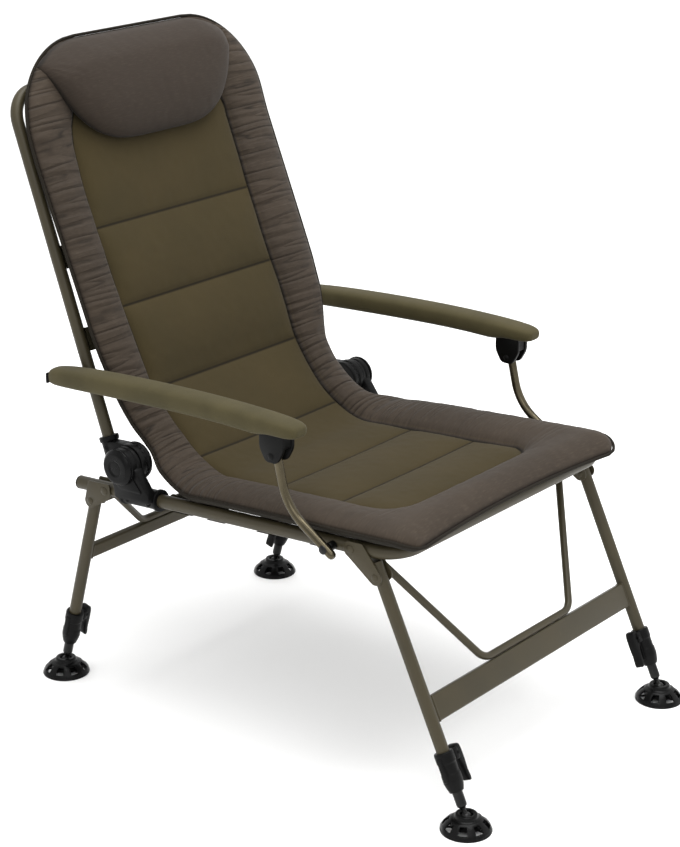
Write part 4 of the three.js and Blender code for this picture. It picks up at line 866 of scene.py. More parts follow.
def makeCrossBar(name):
    leg = legs[name]
    reach = railHalf - legSizes["radius"] + 2.2
    half, deep = leg["barHeight"] / 2, leg["barDepth"] / 2
    bar = blockOf((-reach, -deep, -leg["drop"] - half), (reach, deep, -leg["drop"] + half), 3.2, 4)
    welds = []
    for side in (1, -1):
        bead = blockOf((side * (reach - 3.4) - 1.6, -deep - 0.7, -leg["drop"] - half - 0.6),
                       (side * (reach - 3.4) + 1.6, deep + 0.7, -leg["drop"] + half + 0.6), 1.5, 3)
        welds.append(bead)
    return joined(bar, *welds)


def makeFrontBrace():
    leg = legs["front"]
    low = Vector((leg["spread"] / 2, leg["offset"], -leg["drop"] + leg["barHeight"] / 2 + legSizes["brace"] + 0.3))
    top = Vector((railHalf - legSizes["cheek"] - legSizes["plate"], 0, 0))
    end = low.lerp(top, 0.955)
    path = bendPath([end, low, flipped(low), flipped(end)], legSizes["bend"], 10)
    tube = sweepTube(bmesh.new(), path, legSizes["brace"], 28)
    heading = math.atan2(low.z, low.y)
    points = arc(0, 0, 8.5, heading + math.pi / 2, heading + math.pi * 1.5, 12)
    points += arc(math.cos(heading) * 24, math.sin(heading) * 24, 6, heading - math.pi / 2, heading + math.pi / 2, 8)
    outer = top.x - 0.3
    eye = plateOf(points, outer - 4, outer, 1.0)
    other = mirroredOf(plateOf(points, outer - 4, outer, 1.0))
    return joined(tube, eye, other)


def makeRearBrace():
    leg = legs["rear"]
    lowZ = -leg["drop"] + leg["barHeight"] / 2 + legSizes["brace"] + 0.3
    wall = railHalf - legSizes["cheek"] - legSizes["plate"] - 0.1
    low = Vector((leg["spread"] / 2, leg["offset"], lowZ))
    top = Vector((wall, leg["offset"], -9))
    path = bendPath([top, low, flipped(low), flipped(top)], legSizes["bend"], 10)
    return sweepTube(bmesh.new(), path, legSizes["brace"], 28)


def makeCollar(name):
    top = ball["collarTop"] - reachOf(name)[3]
    bottom = top - ball["collar"]
    body = moved(turned([(10.3, top - 4), (10.4, top), (13.6, top), (14.6, top - 1), (15, top - 4), (15, top - 16),
                         (14, top - 18), (14, top - 32), (15, top - 35), (15, top - 46), (13.4, bottom + 8),
                         (11.6, bottom + 2), (11, bottom), (8.4, bottom), (8.4, bottom + 6)], 40, 1.0),
                 Matrix.Translation((railHalf, 0, 0)))
    boss = blockOf((railHalf - 22.4, -10.2, top - 19), (railHalf - 12, 10.2, top - 1.2), 2.4, 3)
    spine = blockOf((railHalf - 15.6, -4, top - 50), (railHalf - 10, 4, top - 16), 1.6, 3)
    rear = blockOf((railHalf + 9, -5, top - 44), (railHalf + 16.6, 5, top - 6), 2.2, 3)
    pin = moved(turned([(0, -11.2), (2.6, -11.2), (2.6, 11.2), (0, 11.2)], 20, 0.5),
                Matrix.Translation((railHalf - 21, 0, top - ball["lever"])) @ toY)
    return joined(body, boss, spine, rear, pin)


def makeLever(name):
    x = railHalf - 15 - 5.5 - 0.6
    z = ball["collarTop"] - reachOf(name)[3] - ball["lever"]
    points = [(4.6, -5), (5.2, 5), (2.4, 11.4), (-4, 13.4), (-9.6, 11), (-11.4, 3), (-11.6, -12), (-10.4, -30),
              (-12, -42), (-10.6, -47.4), (-6.4, -46.6), (-4.2, -38), (-2.6, -20), (1.2, -10)]
    lever = plateOf(softLine(points, 3.2, 4, True), -7.5, 7.5, 1.8)  # drawn in y and z, then turned to face inboard
    turn = Matrix(((0, 1, 0, x), (-1, 0, 0, 0), (0, 0, 1, z), (0, 0, 0, 1)))
    return moved(lever, turn)


def makeInnerLeg(name):
    reach = reachOf(name)[3]
    r = ball["radius"]
    sphere = [(0, -r)] + arc(0, 0, r, -math.pi / 2, math.pi * 0.36)[1:]
    line = sphere + [(3.6, 12), (4.6, 16), (7.6, 19), (8, 22), (8, 190), (6.8, 192), (0, 192)]
    return moved(turned(line, 32, 0.4), Matrix.Translation((railHalf, 0, -reach)))


mudFoot = {"radius": 39.5, "windows": 8, "thick": 3.2, "scallop": 0.03}


def makeFoot(centreY):
    reach, windows = mudFoot["radius"], mudFoot["windows"]
    sides = windows * 6
    outer = [(reach, 1.4), (reach - 0.6, 4.4), (36, 9), (31, 14.5), (25.5, 18.5), (20, 21)]
    bm = bmesh.new()
    verts = [bm.verts.new((r, 0, z)) for r, z in outer]
    edges = [bm.edges.new(pair) for pair in zip(verts, verts[1:])]
    bmesh.ops.spin(bm, geom=verts + edges, cent=(0, 0, 0), axis=(0, 0, 1), angle=2 * math.pi, steps=sides,
                   use_merge=True)
    bmesh.ops.remove_doubles(bm, verts=bm.verts, dist=1e-3)
    holes = []
    for face in bm.faces:
        c = face.calc_center_median()
        step = (math.atan2(c.y, c.x) / (2 * math.pi) * sides) % 6
        if 1 < step < 4 and 7 < c.z < 17.5:
            holes.append(face)
    bmesh.ops.delete(bm, geom=holes, context="FACES")
    bmesh.ops.recalc_face_normals(bm, faces=bm.faces)
    if sum(f.normal.z for f in bm.faces) < 0:
        bmesh.ops.reverse_faces(bm, faces=bm.faces)
    bmesh.ops.solidify(bm, geom=list(bm.faces), thickness=mudFoot["thick"])
    bmesh.ops.recalc_face_normals(bm, faces=bm.faces)
    sharp = [e for e in bm.edges if len(e.link_faces) == 2 and e.calc_face_angle() > 0.9]
    bmesh.ops.bevel(bm, geom=sharp, offset=0.7, segments=2, profile=0.5, affect="EDGES", material=-1)
    for vert in bm.verts:  # the rim is scalloped between the windows
        turn = math.atan2(vert.co.y, vert.co.x)
        share = max(0, (math.hypot(vert.co.x, vert.co.y) - 28) / 12)
        grow = 1 - mudFoot["scallop"] * share * (0.5 + 0.5 * math.cos(turn * windows))
        vert.co.x *= grow
        vert.co.y *= grow
    ring = turned([(reach - 9, 0), (reach - 0.6, 0), (reach - 0.2, 1.2), (reach - 1, 3.2), (reach - 8, 3),
                   (reach - 9, 0)], 64, 0.6)
    hub = turned([(0, 6.2), (22, 6.6), (25, 8.4), (20, 11), (20.6, 17), (21, 20.5), (17.6, 22), (17.2, 26), (15.8, 28),
                  (11, 28), (9.3, 25), (8.6, 18)], 48, 0.9)
    spokes = []
    for i in range(windows):
        rib = blockOf((18, -1.5, 5), (35, 1.5, 8), 0.8, 2)
        spokes.append(moved(rib, Matrix.Rotation(2 * math.pi * i / windows, 4, "Z")))
    return moved(joined(bm, ring, hub, *spokes), Matrix.Translation((railHalf, centreY, 0)))


def addLegFrame(name):
    leg = legs[name]
    y, z, tilt, reach = reachOf(name)
    swing = frameAt(y, z, leg["lean"])
    along = swing @ Matrix.Translation((0, leg["offset"], 0))
    body = f"{name}_legs"
    plates = makeFrontPlates if name == "front" else makeRearPlates
    brace = makeFrontBrace if name == "front" else makeRearBrace
    footY = y + leg["offset"] * math.cos(tilt) + reach * math.sin(tilt)
    addPair(f"{name}_bracket", plates, swing, body, oliveMetal, f"{name}_plate")
    addPiece(f"{name}_stay", brace(), swing, body, oliveMetal, [f"{name}_brace"])
    addPiece(f"{name}_bar", makeCrossBar(name), along, body, oliveMetal, [f"{name}_crossbar"])
    addPair(f"{name}_tube", lambda: makeLegTube(name), along, body, oliveMetal, f"{name}_leg")
    addPair(f"{name}_lock", lambda: makeCollar(name), along, body, blackPlastic, f"{name}_collar")
    addPair(f"{name}_catch", lambda: makeLever(name), along, name + "_lever_{side}_body",
            blackPlastic, f"{name}_lever")
    addPair(f"{name}_ram", lambda: makeInnerLeg(name), along, name + "_inner_leg_{side}_body",
            blackMetal, f"{name}_inner_leg")
    addPair(f"{name}_mud_foot", lambda: makeFoot(footY), chairFrame, name + "_foot_{side}_body",
            glossPlastic, f"{name}_foot")


for end in legs:
    addLegFrame(end)
print("Leg frames made")

# Mattress
pad = {
    "seatHalf": 290, "backHalf": 276, "front": -313, "rear": 98.6, "backFrom": 130.4, "backTo": 677,
    "rise": 27.3, "set": -11.2, "seatPull": 55, "backPull": 80,
    "frontCorner": 46, "headWidth": 150, "headHeight": 150,
    "panelCorner": 44, "topCorner": 90, "panelTop": 590, "bow": 16, "bowRun": 90,
    "seatSeams": [-108, 20], "creaseSeams": [0.32, 0.87], "backSeams": [239, 370], "panelFront": -225,
    "cell": 7.5, "borderCrown": 19, "panelCrown": 9, "seamLow": -3.0, "under": 13.5,
    "droop": 13, "rimDrop": 14, "backRimDrop": 5, "borderLeast": 34, "panelShare": 0.66,
}


def creaseCurve():
    start = Vector(railPlace(pad["rear"], pad["rise"]))
    slope = math.radians(chair["railRise"])
    tilt = math.radians(chair["backLean"] + chair["padLean"])
    end = Vector((hingeY + pad["backFrom"] * math.sin(tilt) + pad["set"] * math.cos(tilt),
                  hingeZ + pad["backFrom"] * math.cos(tilt) - pad["set"] * math.sin(tilt)))
    first = start + Vector((math.cos(slope), -math.sin(slope))) * pad["seatPull"]
    second = end - Vector((math.sin(tilt), math.cos(tilt))) * pad["backPull"]
    return [start * (1 - t) ** 3 + first * 3 * t * (1 - t) ** 2 + second * 3 * t * t * (1 - t) + end * t ** 3
            for t in np.linspace(0, 1, 121)]


def padCentreLine():
    line = [Vector(railPlace(t, pad["rise"])) for t in np.linspace(pad["front"], pad["rear"], 80)][:-1]
    line += creaseCurve()
    tilt = math.radians(chair["backLean"] + chair["padLean"])
    for t in np.linspace(pad["backFrom"], pad["backTo"], 120)[1:]:
        line.append(Vector((hingeY + t * math.sin(tilt) + pad["set"] * math.cos(tilt),
                            hingeZ + t * math.cos(tilt) - pad["set"] * math.sin(tilt))))
    line = np.array([tuple(p) for p in line])
    lengths = np.concatenate([[0], np.cumsum(np.linalg.norm(np.diff(line, axis=0), axis=1))])
    heading = np.gradient(line, lengths, axis=0)
    heading /= np.linalg.norm(heading, axis=1)[:, None]
    return lengths, line, heading


padLengths, padLine, padHeading = padCentreLine()
seatRun = pad["rear"] - pad["front"]
padLength = padLengths[-1]
creaseRun = padLength - seatRun - (pad["backTo"] - pad["backFrom"])
crossSeams = ([t - pad["front"] for t in pad["seatSeams"]]
              + [seatRun + share * creaseRun for share in pad["creaseSeams"]]
              + [seatRun + creaseRun + t - pad["backFrom"] for t in pad["backSeams"]])
panelStart = pad["panelFront"] - pad["front"]
panelEnd = seatRun + creaseRun + pad["panelTop"] - pad["backFrom"]


def smoothStep(value, low, high):
    t = np.clip((value - low) / (high - low), 0, 1)
    return t * t * (3 - 2 * t)


def eased(stops, s, reach=16):  # a table of lengths and values, with its corners rounded
    return sum(np.interp(s + d, stops[0], stops[1]) for d in np.linspace(-reach, reach, 9)) / 9


padStops = [0, 330, 430, 446, 456, 464, 474, 496, 515, 530, 555, 575, 600, 625, 650, 690, 740, 1060, 1198]
padNear = [290, 288, 284, 280, 278, 276, 274, 269, 259, 253, 253, 257, 260, 264, 268, 273, 275, 275, 268]
padFar = [290, 288, 283, 277, 264, 250, 240, 236, 236, 236, 236, 237, 239, 249, 258, 268, 273, 275, 283]
panelStops = [0, 410, 450, 520, 590, 650, 720, 800, 950, 1050, 1198]
panelNear = [190, 184, 182, 182, 184, 189, 193, 196, 196, 188, 186]
panelFar = [176, 172, 166, 162, 168, 172, 173, 170, 174, 176, 176]


def bySide(x, near, far):  # the chair stands askew under its cloth: one value left, one right
    return near + (far - near) * (np.sign(x) + 1) / 2


def padHalf(s, x):  # from the middle to the rim, drawn in between the hinges
    half = bySide(x, eased((padStops, padNear), s, 6), eased((padStops, padFar), s, 6))
    corner = pad["frontCorner"]
    inset = np.clip(s, 0, corner)
    half = half - corner + np.sqrt(np.maximum(0, corner ** 2 - (corner - inset) ** 2))
    above = np.clip(1 - (padLength - s) / pad["headHeight"], 0, 1)
    return half - pad["headWidth"] * (1 - np.sqrt(1 - above ** 2))


def panelHalfAt(s, x):
    half = bySide(x, eased((panelStops, panelNear), s), eased((panelStops, panelFar), s))
    return np.minimum(half, padHalf(s, x) - pad["borderLeast"])


def panelEdge(x, s):  # distance outside the quilted panel, which has rounded corners
    upper = smoothStep(s, seatRun, panelEnd - 200)
    corner = pad["panelCorner"] + (pad["topCorner"] - pad["panelCorner"]) * upper
    dx = np.abs(x) - (panelHalfAt(s, x) - corner)
    ds = np.maximum(panelStart + corner - s, s - (panelEnd - corner))
    outside = np.hypot(np.maximum(dx, 0), np.maximum(ds, 0))
    return outside + np.minimum(np.maximum(dx, ds), 0) - corner


def rimDistance(x, s):
    return np.minimum(np.minimum(padHalf(np.clip(s, 0, padLength), x) - np.abs(x), s), padLength - s)


def seamLine(x, s):
    return np.min([np.abs(s - seam) for seam in crossSeams], axis=0) + np.maximum(0, panelEdge(x, s) + 1) * 8


sagStops = [0, 91, 218, 347, 420, 476, 620, 700, 760, 891, 1022, 1136, 1198]
sagDepths = [0, 5, 6, 6, 7, 8, 6, 3, 3, 4, 4, 3, 0]


def padSag(x, s):  # the mattress hangs between its tubes
    depth = np.interp(s, sagStops, sagDepths)
    return -depth * (1 - np.clip(np.abs(x) / padHalf(s, x), 0, 1) ** 2.2)


pillow = {  # plain is a distance that keeps seams off it
    "half": 219, "low": 493, "thick": 40, "lift": 132, "power": 4.4, "inset": 3, "cell": 7, "plain": 60.0,
}


def pillowLow(x):  # lower edge, which hangs in the middle
    return pillow["low"] + pillow["lift"] * np.clip(np.abs(x) / 214, 0, 1.1) ** pillow["power"]


def pillowTop(x):  # upper edge, just inside the round of the head
    share = np.clip(1 - (bySide(x, 272, 277) - pillow["inset"] - np.abs(x)) / pad["headWidth"], 0, 1)
    return pad["backTo"] - pillow["inset"] - pad["headHeight"] * (1 - np.sqrt(1 - share ** 2))


def underPillow(x, s):
    t = s - seatRun - creaseRun + pad["backFrom"]
    return smoothStep(t - pillowLow(x), 5, 35)


def topHeight(x, s):
    edge = panelEdge(x, s)
    rim = np.maximum(rimDistance(x, s), 0)
    share = np.clip(edge / np.maximum(edge + rim, 1e-3), 0, 1)
    crown = 1 - 0.75 * underPillow(x, s)
    border = pad["seamLow"] * (1 - share) + pad["borderCrown"] * crown * np.sqrt(np.clip(4 * share * (1 - share), 0, 1))
    stops = np.array([panelStart - 20] + crossSeams + [panelEnd + 20])
    cell = np.clip(np.searchsorted(stops, s), 1, len(stops) - 1)
    low, high = stops[cell - 1], stops[cell]
    t = np.clip((s - low) / (high - low), 0, 1)
    puff = (1 - np.abs(2 * t - 1) ** 2.6) * (1 - np.exp(edge / 16))
    panel = pad["seamLow"] + pad["panelCrown"] * crown * np.clip(puff, 0, 1)
    return np.where(edge > 0, border, panel)


def mapPad(x, s, h):  # from the flat mattress to its place on the chair
    y = np.interp(s, padLengths, padLine[:, 0])
    z = np.interp(s, padLengths, padLine[:, 1])
    ty = np.interp(s, padLengths, padHeading[:, 0])
    tz = np.interp(s, padLengths, padHeading[:, 1])
    norm = np.hypot(ty, tz)
    ty, tz = ty / norm, tz / norm
    corner = (np.abs(x) / pad["seatHalf"]) ** 2
    lift = h + padSag(x, s) - pad["droop"] * np.clip(1 - s / 40, 0, 1) ** 2 * (0.8 + 0.5 * corner)
    drop = pad["rimDrop"] * np.exp(-((s - seatRun - 135) / 110) ** 2)
    drop = drop + pad["backRimDrop"] * smoothStep(s, 640, 740) * smoothStep(-s, -1090, -1000)
    lift -= drop * smoothStep(np.abs(x), 165, 245)
    over = np.clip(s - padLength, 0, None) + np.clip(s, None, 0)
    over = over - pad["bow"] * corner * np.clip(1 - s / pad["bowRun"], 0, 1)
    return np.stack([x, y - tz * lift + chair["shift"] + ty * over, z + ty * lift + tz * over], axis=-1) * mm


def gridStops(stops, cell):
    line = []
    for low, high in zip(stops, stops[1:]):
        count = max(1, round((high - low) / cell))
        line += list(np.linspace(low, high, count + 1)[:-1])
    return np.array(line + [stops[-1]])


def flatGrid(columns, rows):  # a grid whose columns and rows stand where the lists say
    bm = bmesh.new()
    bmesh.ops.create_grid(bm, x_segments=len(columns) - 1, y_segments=len(rows) - 1, size=1)
    bm.verts.ensure_lookup_table()
    i = np.array([round((v.co.x + 1) / 2 * (len(columns) - 1)) for v in bm.verts])
    j = np.array([round((v.co.y + 1) / 2 * (len(rows) - 1)) for v in bm.verts])
    return bm, np.array(columns)[i], np.array(rows)[j], i, j


def setPlaces(mesh, places):
    mesh.vertices.foreach_set("co", np.ascontiguousarray(places, dtype=np.float32).ravel())
    mesh.update()


def getPlaces(mesh):
    places = np.zeros(len(mesh.vertices) * 3, np.float32)
    mesh.vertices.foreach_get("co", places)
    return places.reshape(-1, 3).astype(float)


clothRun = {"frames": 20, "quality": 5, "mass": 0.15, "stretch": 20, "shear": 8, "bend": 0.25, "air": 2}


def puffCloth(name, bm, places, pinned, loose, pressure, spare, cap):  # cloth blown up between its seams
    mesh = bpy.data.meshes.new(name)
    bm.to_mesh(mesh)
    setPlaces(mesh, places)
    cloth = bpy.data.objects.new(name, mesh)
    bpy.context.collection.objects.link(cloth)
    pins = cloth.vertex_groups.new(name="pins")
    pins.add([int(i) for i in np.nonzero(pinned)[0]], 1.0, "REPLACE")
    slack = cloth.vertex_groups.new(name="slack")
    for level in range(1, 11):
        chosen = np.nonzero(np.round(loose * 10) == level)[0]
        if len(chosen):
            slack.add([int(i) for i in chosen], level / 10, "REPLACE")
    modifier = cloth.modifiers.new("cloth", "CLOTH")
    settings = modifier.settings
    settings.quality = clothRun["quality"]
    settings.mass = clothRun["mass"]
    settings.tension_stiffness = settings.compression_stiffness = clothRun["stretch"]
    settings.shear_stiffness = clothRun["shear"]
    settings.bending_stiffness = clothRun["bend"]
    settings.air_damping = clothRun["air"]
    settings.vertex_group_mass = "pins"
    settings.vertex_group_shrink = "slack"
    settings.shrink_min = 0.0
    settings.shrink_max = -spare
    settings.use_pressure = True
    settings.uniform_pressure_force = pressure
    settings.effector_weights.gravity = 0
    modifier.collision_settings.use_collision = False
    modifier.point_cache.frame_start, modifier.point_cache.frame_end = 1, clothRun["frames"]
    scene = bpy.context.scene
    for number in range(1, clothRun["frames"] + 1):
        scene.frame_set(number)
    result = cloth.evaluated_get(bpy.context.evaluated_depsgraph_get()).to_mesh()
    blown = getPlaces(result)
    scene.frame_set(1)
    bpy.data.objects.remove(cloth, do_unlink=True)
    bpy.data.meshes.remove(mesh)
    step = blown - places
    reach = np.linalg.norm(step, axis=1, keepdims=True)
    step *= np.minimum(1, cap / np.maximum(reach, 1e-9))
    return places + np.nan_to_num(step)


def closedPad(name, columns, rows, upper, lower, onRim, underside=0):  # two cloths sewn together round the rim
    whole = bmesh.new()
    for places, material in ((upper, 0), (lower, underside)):
        side = flatGrid(columns, rows)[0]
        if places is lower:
            bmesh.ops.reverse_faces(side, faces=side.faces)
        for face in side.faces:
            face.material_index = material
        mesh = bpy.data.meshes.new("padSide")
        side.to_mesh(mesh)
        side.free()
        setPlaces(mesh, places)
        whole.from_mesh(mesh)
        bpy.data.meshes.remove(mesh)
    rims = [vert for vert, on in zip(whole.verts, np.concatenate([onRim, onRim])) if on]
    bmesh.ops.remove_doubles(whole, verts=rims, dist=0.01)
    bmesh.ops.recalc_face_normals(whole, faces=whole.faces)
    mesh = bpy.data.meshes.new(name)
    whole.to_mesh(mesh)
    whole.free()
    flat = bpy.data.objects.new(name, mesh)
    bpy.context.collection.objects.link(flat)
    smoothing = flat.modifiers.new("soft", "SUBSURF")
    smoothing.levels = smoothing.render_levels = 1
    final = bpy.data.meshes.new_from_object(flat.evaluated_get(bpy.context.evaluated_depsgraph_get()))
    bpy.data.objects.remove(flat, do_unlink=True)
    return final


def addMaps(mesh, across, along, values):  # what the cloth's finish reads
    for name, line in values.items():
        mesh.attributes.new(name, "FLOAT", "POINT").data.foreach_set("value", line.astype(np.float32))
    corner = np.zeros(len(mesh.loops), np.int32)
    mesh.loops.foreach_get("vertex_index", corner)
    uv = np.stack([across, along], axis=1)[corner] * mm
    mesh.uv_layers.new(name="cloth").data.foreach_set("uv", uv.astype(np.float32).ravel())


def rimOf(i, j, columns, rows):
    return (i == 0) | (i == len(columns) - 1) | (j == 0) | (j == len(rows) - 1)


def makeMattress():
    inner = pad["panelShare"]
    columns = gridStops([-1, -inner, inner, 1], pad["cell"] / pad["backHalf"])
    rows = gridStops([0, panelStart] + crossSeams + [panelEnd, padLength], pad["cell"])
    bm, u, s, i, j = flatGrid(columns, rows)
    half, panelHalf = padHalf(s, u), panelHalfAt(s, u)
    outer = np.clip((np.abs(u) - inner) / (1 - inner), 0, 1)
    x = np.sign(u) * (np.minimum(np.abs(u) / inner, 1) * panelHalf + outer * (half - panelHalf))
    onRim = rimOf(i, j, columns, rows)
    top = np.where(onRim, 0, topHeight(x, s))
    edge = panelEdge(x, s)
    seam = seamLine(x, s)
    held = pad["cell"] * 0.55  # cells on a seam are held down
    pinned = onRim | (seam < held) | (np.abs(edge) < held) | (underPillow(x, s) > 0.5)
    ripple = np.random.default_rng(7).normal(0, 0.35, len(x)) * (~pinned)
    places = np.stack([x, s, top + ripple], axis=1) * mm
    loose = np.where(edge > 0, 1.0, 0.35)
    blown = puffCloth("padCloth", bm, places, pinned, loose, 1.2, 0.07, 0.012) / mm
    bm.free()
    blown[onRim] = places[onRim] / mm
    rim = np.maximum(rimDistance(x, s), 0)
    fullness = np.sqrt(np.clip(1 - (1 - np.clip(rim / 18, 0, 1)) ** 2, 0, 1))
    low = np.stack([x, s, -pad["under"] * fullness + np.where(edge < 0, 1.5, 0)], axis=1)
    low[onRim] = blown[onRim]
    return closedPad("mattressFlat", columns, rows, blown, low, onRim, 1)


gathers = ([0, 60, 200, 330, 400, 440, 560, 640, 760, 900, 1000, 1150, 1198],  # length, and how densely it is gathered
           [0.3, 0.25, 0.15, 0.3, 0.8, 1.0, 1.0, 0.7, 0.6, 0.75, 1.0, 1.0, 0.8])


def dressMattress(mesh):  # seams, maps and place
    places = getPlaces(mesh)
    x, s, h = places.T
    edge, seam = panelEdge(x, s), seamLine(x, s)
    rim = rimDistance(x, s)
    onTop = smoothStep(h, -8.5, -5.5) * smoothStep(rim, 2, 8)
    groove = np.maximum(3.2 * np.exp(-(edge / 3.6) ** 2), 2.6 * np.exp(-(seam / 3.4) ** 2))
    h = h - groove * onTop
    gather = np.interp(s, *gathers) * smoothStep(s, 40, 90)
    addMaps(mesh, x, s, {"panelEdge": edge, "seamLine": seam, "rimLine": np.maximum(rim, 0), "gather": gather})
    setPlaces(mesh, mapPad(x, s, h))


middle = np.zeros(1)
bendStart = mapPad(middle, middle + seatRun + 6, middle)[0]
bendEnd = mapPad(middle, middle + seatRun + creaseRun - 6, middle)[0]
mattressMesh = makeMattress()
dressMattress(mattressMesh)
mattress = bpy.data.objects.new("mattress", mattressMesh)
bpy.context.collection.objects.link(mattress)
mattressMesh.materials.append(padFabric)
mattressMesh.materials.append(backing)
finishMesh(mattress, 180)
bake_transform(mattress)
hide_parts("seat_pad", "back_pad", "mattress_crease")
print("Mattress made")


def addCordOn(name, x, s, h, radius, sides=10):  # a cord sewn along a line on the mattress
    places = mapPad(np.array(x, float), np.array(s, float), np.array(h, float)) / mm
    points = [Vector(p) for p in places]
    path = []
    for k, point in enumerate(points):
        ahead, behind = points[min(k + 1, len(points) - 1)], points[max(k - 1, 0)]
        path.append((point, (ahead - behind).normalized()))
    bm = sweepTube(bmesh.new(), path, radius, sides)
    piece = addPiece(name, bm, Matrix.Scale(mm, 4), None, cordCloth, (), 180)
    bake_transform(piece)
    return piece


binding = {"radius": 2.6, "step": 6.0, "overlap": 1.5, "headFrom": 112}


def rimLineOf(step):
    corner, head = pad["frontCorner"], padLength - binding["headFrom"]
    s = np.concatenate([np.arange(0, corner, 3.0), np.arange(corner, head, step), np.arange(head, padLength, 2.5),
                        [padLength]])
    half, near = padHalf(s, 1.0), padHalf(s, -1.0)
    frontX = np.concatenate([[0.0], np.arange(half[0] - step, 1, -step)[::-1]])
    topX = np.arange(half[-1] - step, -near[-1], -step)
    x = np.concatenate([frontX, half, topX, -near[::-1], -frontX[::-1], [binding["overlap"]]])
    along = np.concatenate([0 * frontX, s, np.full(len(topX), padLength), s[::-1], 0 * frontX, [0.0]])
    return x, along


rimX, rimS = rimLineOf(binding["step"])
addCordOn("rim_binding", rimX, rimS, np.zeros(len(rimX)), binding["radius"])
print("Binding made")

# Head pillow


def makePillow():
    p = pillow
    columns = gridStops([-1, 1], p["cell"] / p["half"])
    rows = gridStops([0, 1], p["cell"] / (pad["backTo"] - p["low"]))
    bm, u, v, i, j = flatGrid(columns, rows)
    x = u * p["half"]
    low = pillowLow(x)
    t = low + (pillowTop(x) - low) * v
    onRim = rimOf(i, j, columns, rows)
    fullness = np.sqrt(np.clip(1 - np.abs(u) ** 5, 0, 1)) * np.sqrt(np.clip(1 - np.abs(2 * v - 1) ** 3.2, 0, 1))
    crown = p["thick"] * fullness * (0.62 + 0.38 * np.sin(math.pi * (0.12 + 0.72 * v)))
    ripple = np.random.default_rng(11).normal(0, 0.3, len(x)) * (~onRim)
    places = np.stack([x, t, crown + ripple], axis=1) * mm
    blown = puffCloth("pillowCloth", bm, places, onRim, np.full(len(x), 1.0), 1.0, 0.035, 0.01) / mm
    bm.free()
    blown[onRim] = places[onRim] / mm
    under = np.stack([x, t, np.full(len(x), -1.0)], axis=1)
    under[onRim] = blown[onRim]
    return closedPad("head_cushion", columns, rows, blown, under, onRim)


def onBack(x, t, h):  # a place on the back of the mattress: across, up and out from its middle surface
    s = seatRun + creaseRun + t - pad["backFrom"]
    return mapPad(x, s, h)


def dressPillow(mesh):
    x, t, h = getPlaces(mesh).T
    rim = np.maximum(0, np.minimum(t - pillowLow(x), pillowTop(x) - t))
    plain = np.full(len(x), pillow["plain"])
    addMaps(mesh, x, t, {"panelEdge": plain, "seamLine": plain, "rimLine": rim, "gather": np.zeros(len(x))})
    narrower = 1 - 0.035 * smoothStep(x, 0, 200)
    setPlaces(mesh, onBack(x * narrower - 3, t, h + 4 + 11 * smoothStep(pillowTop(x) - t, 0, 55)))


pillowMesh = makePillow()
dressPillow(pillowMesh)
headCushion = bpy.data.objects.new("head_cushion", pillowMesh)
bpy.context.collection.objects.link(headCushion)
pillowMesh.materials.append(cushionFabric)
finishMesh(headCushion, 180)
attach(headCushion, "back")
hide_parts("head_pillow")
print("Head pillow made")

# Straps
straps = {
    "width": 38, "thick": 1.8, "cells": 6, "clear": 1.5, "spread": 220,
    "seat": [-145, -40, 62, 130], "seatDip": 5.0, "back": [205, 340, 480], "backDip": 9.0,
}


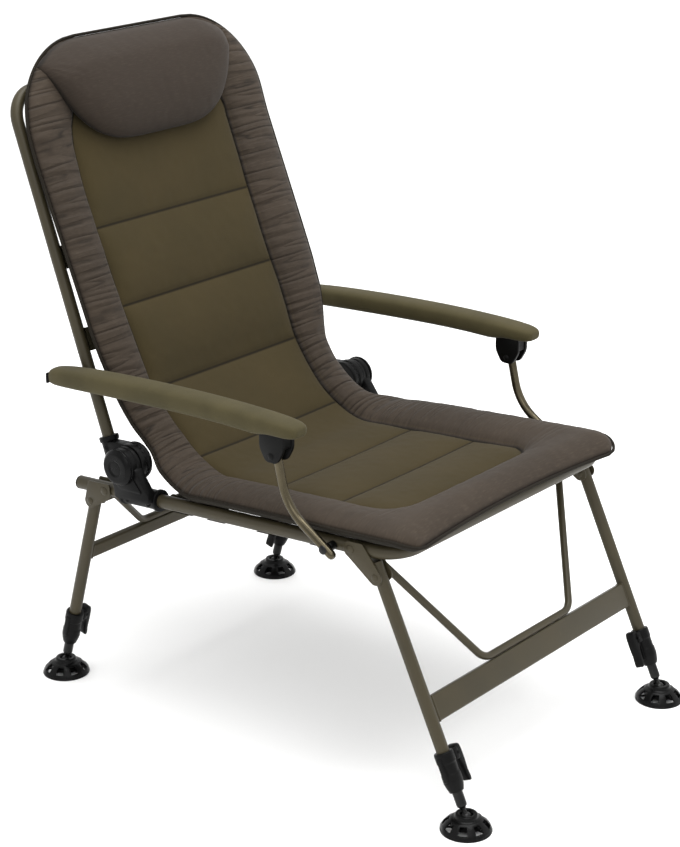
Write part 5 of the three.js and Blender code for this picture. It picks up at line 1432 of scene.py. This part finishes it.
def ribbon(points, across):  # a strap along points, its width along the vector across
    bm = bmesh.new()
    uv = bm.loops.layers.uv.new("cloth")
    width, count = straps["width"], straps["cells"]
    side = Vector(across).normalized() * (width / 2)
    line = [Vector(p) for p in points]
    lengths = [0.0]
    for a, b in zip(line, line[1:]):
        lengths.append(lengths[-1] + (b - a).length)
    rows = [[bm.verts.new(p + side * (2 * k / count - 1)) for k in range(count + 1)] for p in line]
    for r in range(len(rows) - 1):
        for k in range(count):
            corners = ((r, k), (r, k + 1), (r + 1, k + 1), (r + 1, k))
            face = bm.faces.new([rows[row][column] for row, column in corners])
            for loop, (row, column) in zip(face.loops, corners):
                loop[uv].uv = (width * column / count * mm, lengths[row] * mm)
    # these faces have no normals yet, so the second layer lies on the first and a strap has no thickness
    bmesh.ops.solidify(bm, geom=list(bm.faces), thickness=straps["thick"])
    bmesh.ops.recalc_face_normals(bm, faces=bm.faces)
    return bm


def strapLine(half, radius, dip, lift):  # x and height of one strap, from under one tube to under the other
    around = radius + straps["clear"]
    angles = [math.radians(a) for a in range(290, 112, -9)]
    right = [(half + around * math.cos(a), around * math.sin(a)) for a in angles]
    left = [(-x, z) for x, z in reversed(right)]
    middle = []
    for k in range(1, 24):
        x = half - 5 - 2 * (half - 5) * k / 24
        share = 1 - (x / half) ** 2
        middle.append((x, around + lift * min(1, share * 2.2) - dip * share))
    return right + middle + left


def makeStraps(stations, half, radius, dip, lift, place):
    shapes = []
    for station in stations:
        line = [place(x, station, z) for x, z in strapLine(half, radius, dip, lift(station))]
        across = Vector(place(0, station + 10, 0)) - Vector(place(0, station - 10, 0))
        shapes.append(ribbon(line, across))
    for side in (1, -1):
        first, last = stations[0] - straps["width"] / 2, stations[-1] + straps["width"] / 2
        line = []
        for t in np.linspace(first, last, 30):
            x = side * straps["spread"] / 2
            share = 1 - (x / half) ** 2
            z = radius + straps["clear"] - straps["thick"] * 0.9 + lift(t) * min(1, share * 2.2) - dip * share
            line.append(place(x, t, z))
        shapes.append(ribbon(line, (1, 0, 0)))
    return joined(*shapes)


def padBackSet(station):  # how far the mattress' back lies ahead of the tube's middle line, along the back
    return chair["backSetback"] - 2.3 - station * math.tan(math.radians(chair["padLean"]))


def flatLift(station):
    return 0.0


def backLift(station):
    return max(0.0, padBackSet(station) - 13.0)


def onSeatTubes(x, station, z):
    return x, station, z


def behindBack(x, station, z):
    return x, chair["backSetback"] - z, station


seatStraps = makeStraps(straps["seat"], railHalf, seatTube["radius"], straps["seatDip"], flatLift, onSeatTubes)
backStraps = makeStraps(straps["back"], backHalf, backTube["radius"], straps["backDip"], backLift, behindBack)
addPiece("seat_straps", seatStraps, seatFrame, "seat", webbing, ["seat_webbing"], 50)
addPiece("back_straps", backStraps, backFrame, "back", webbing, ["back_webbing"], 50)
print("Straps made")
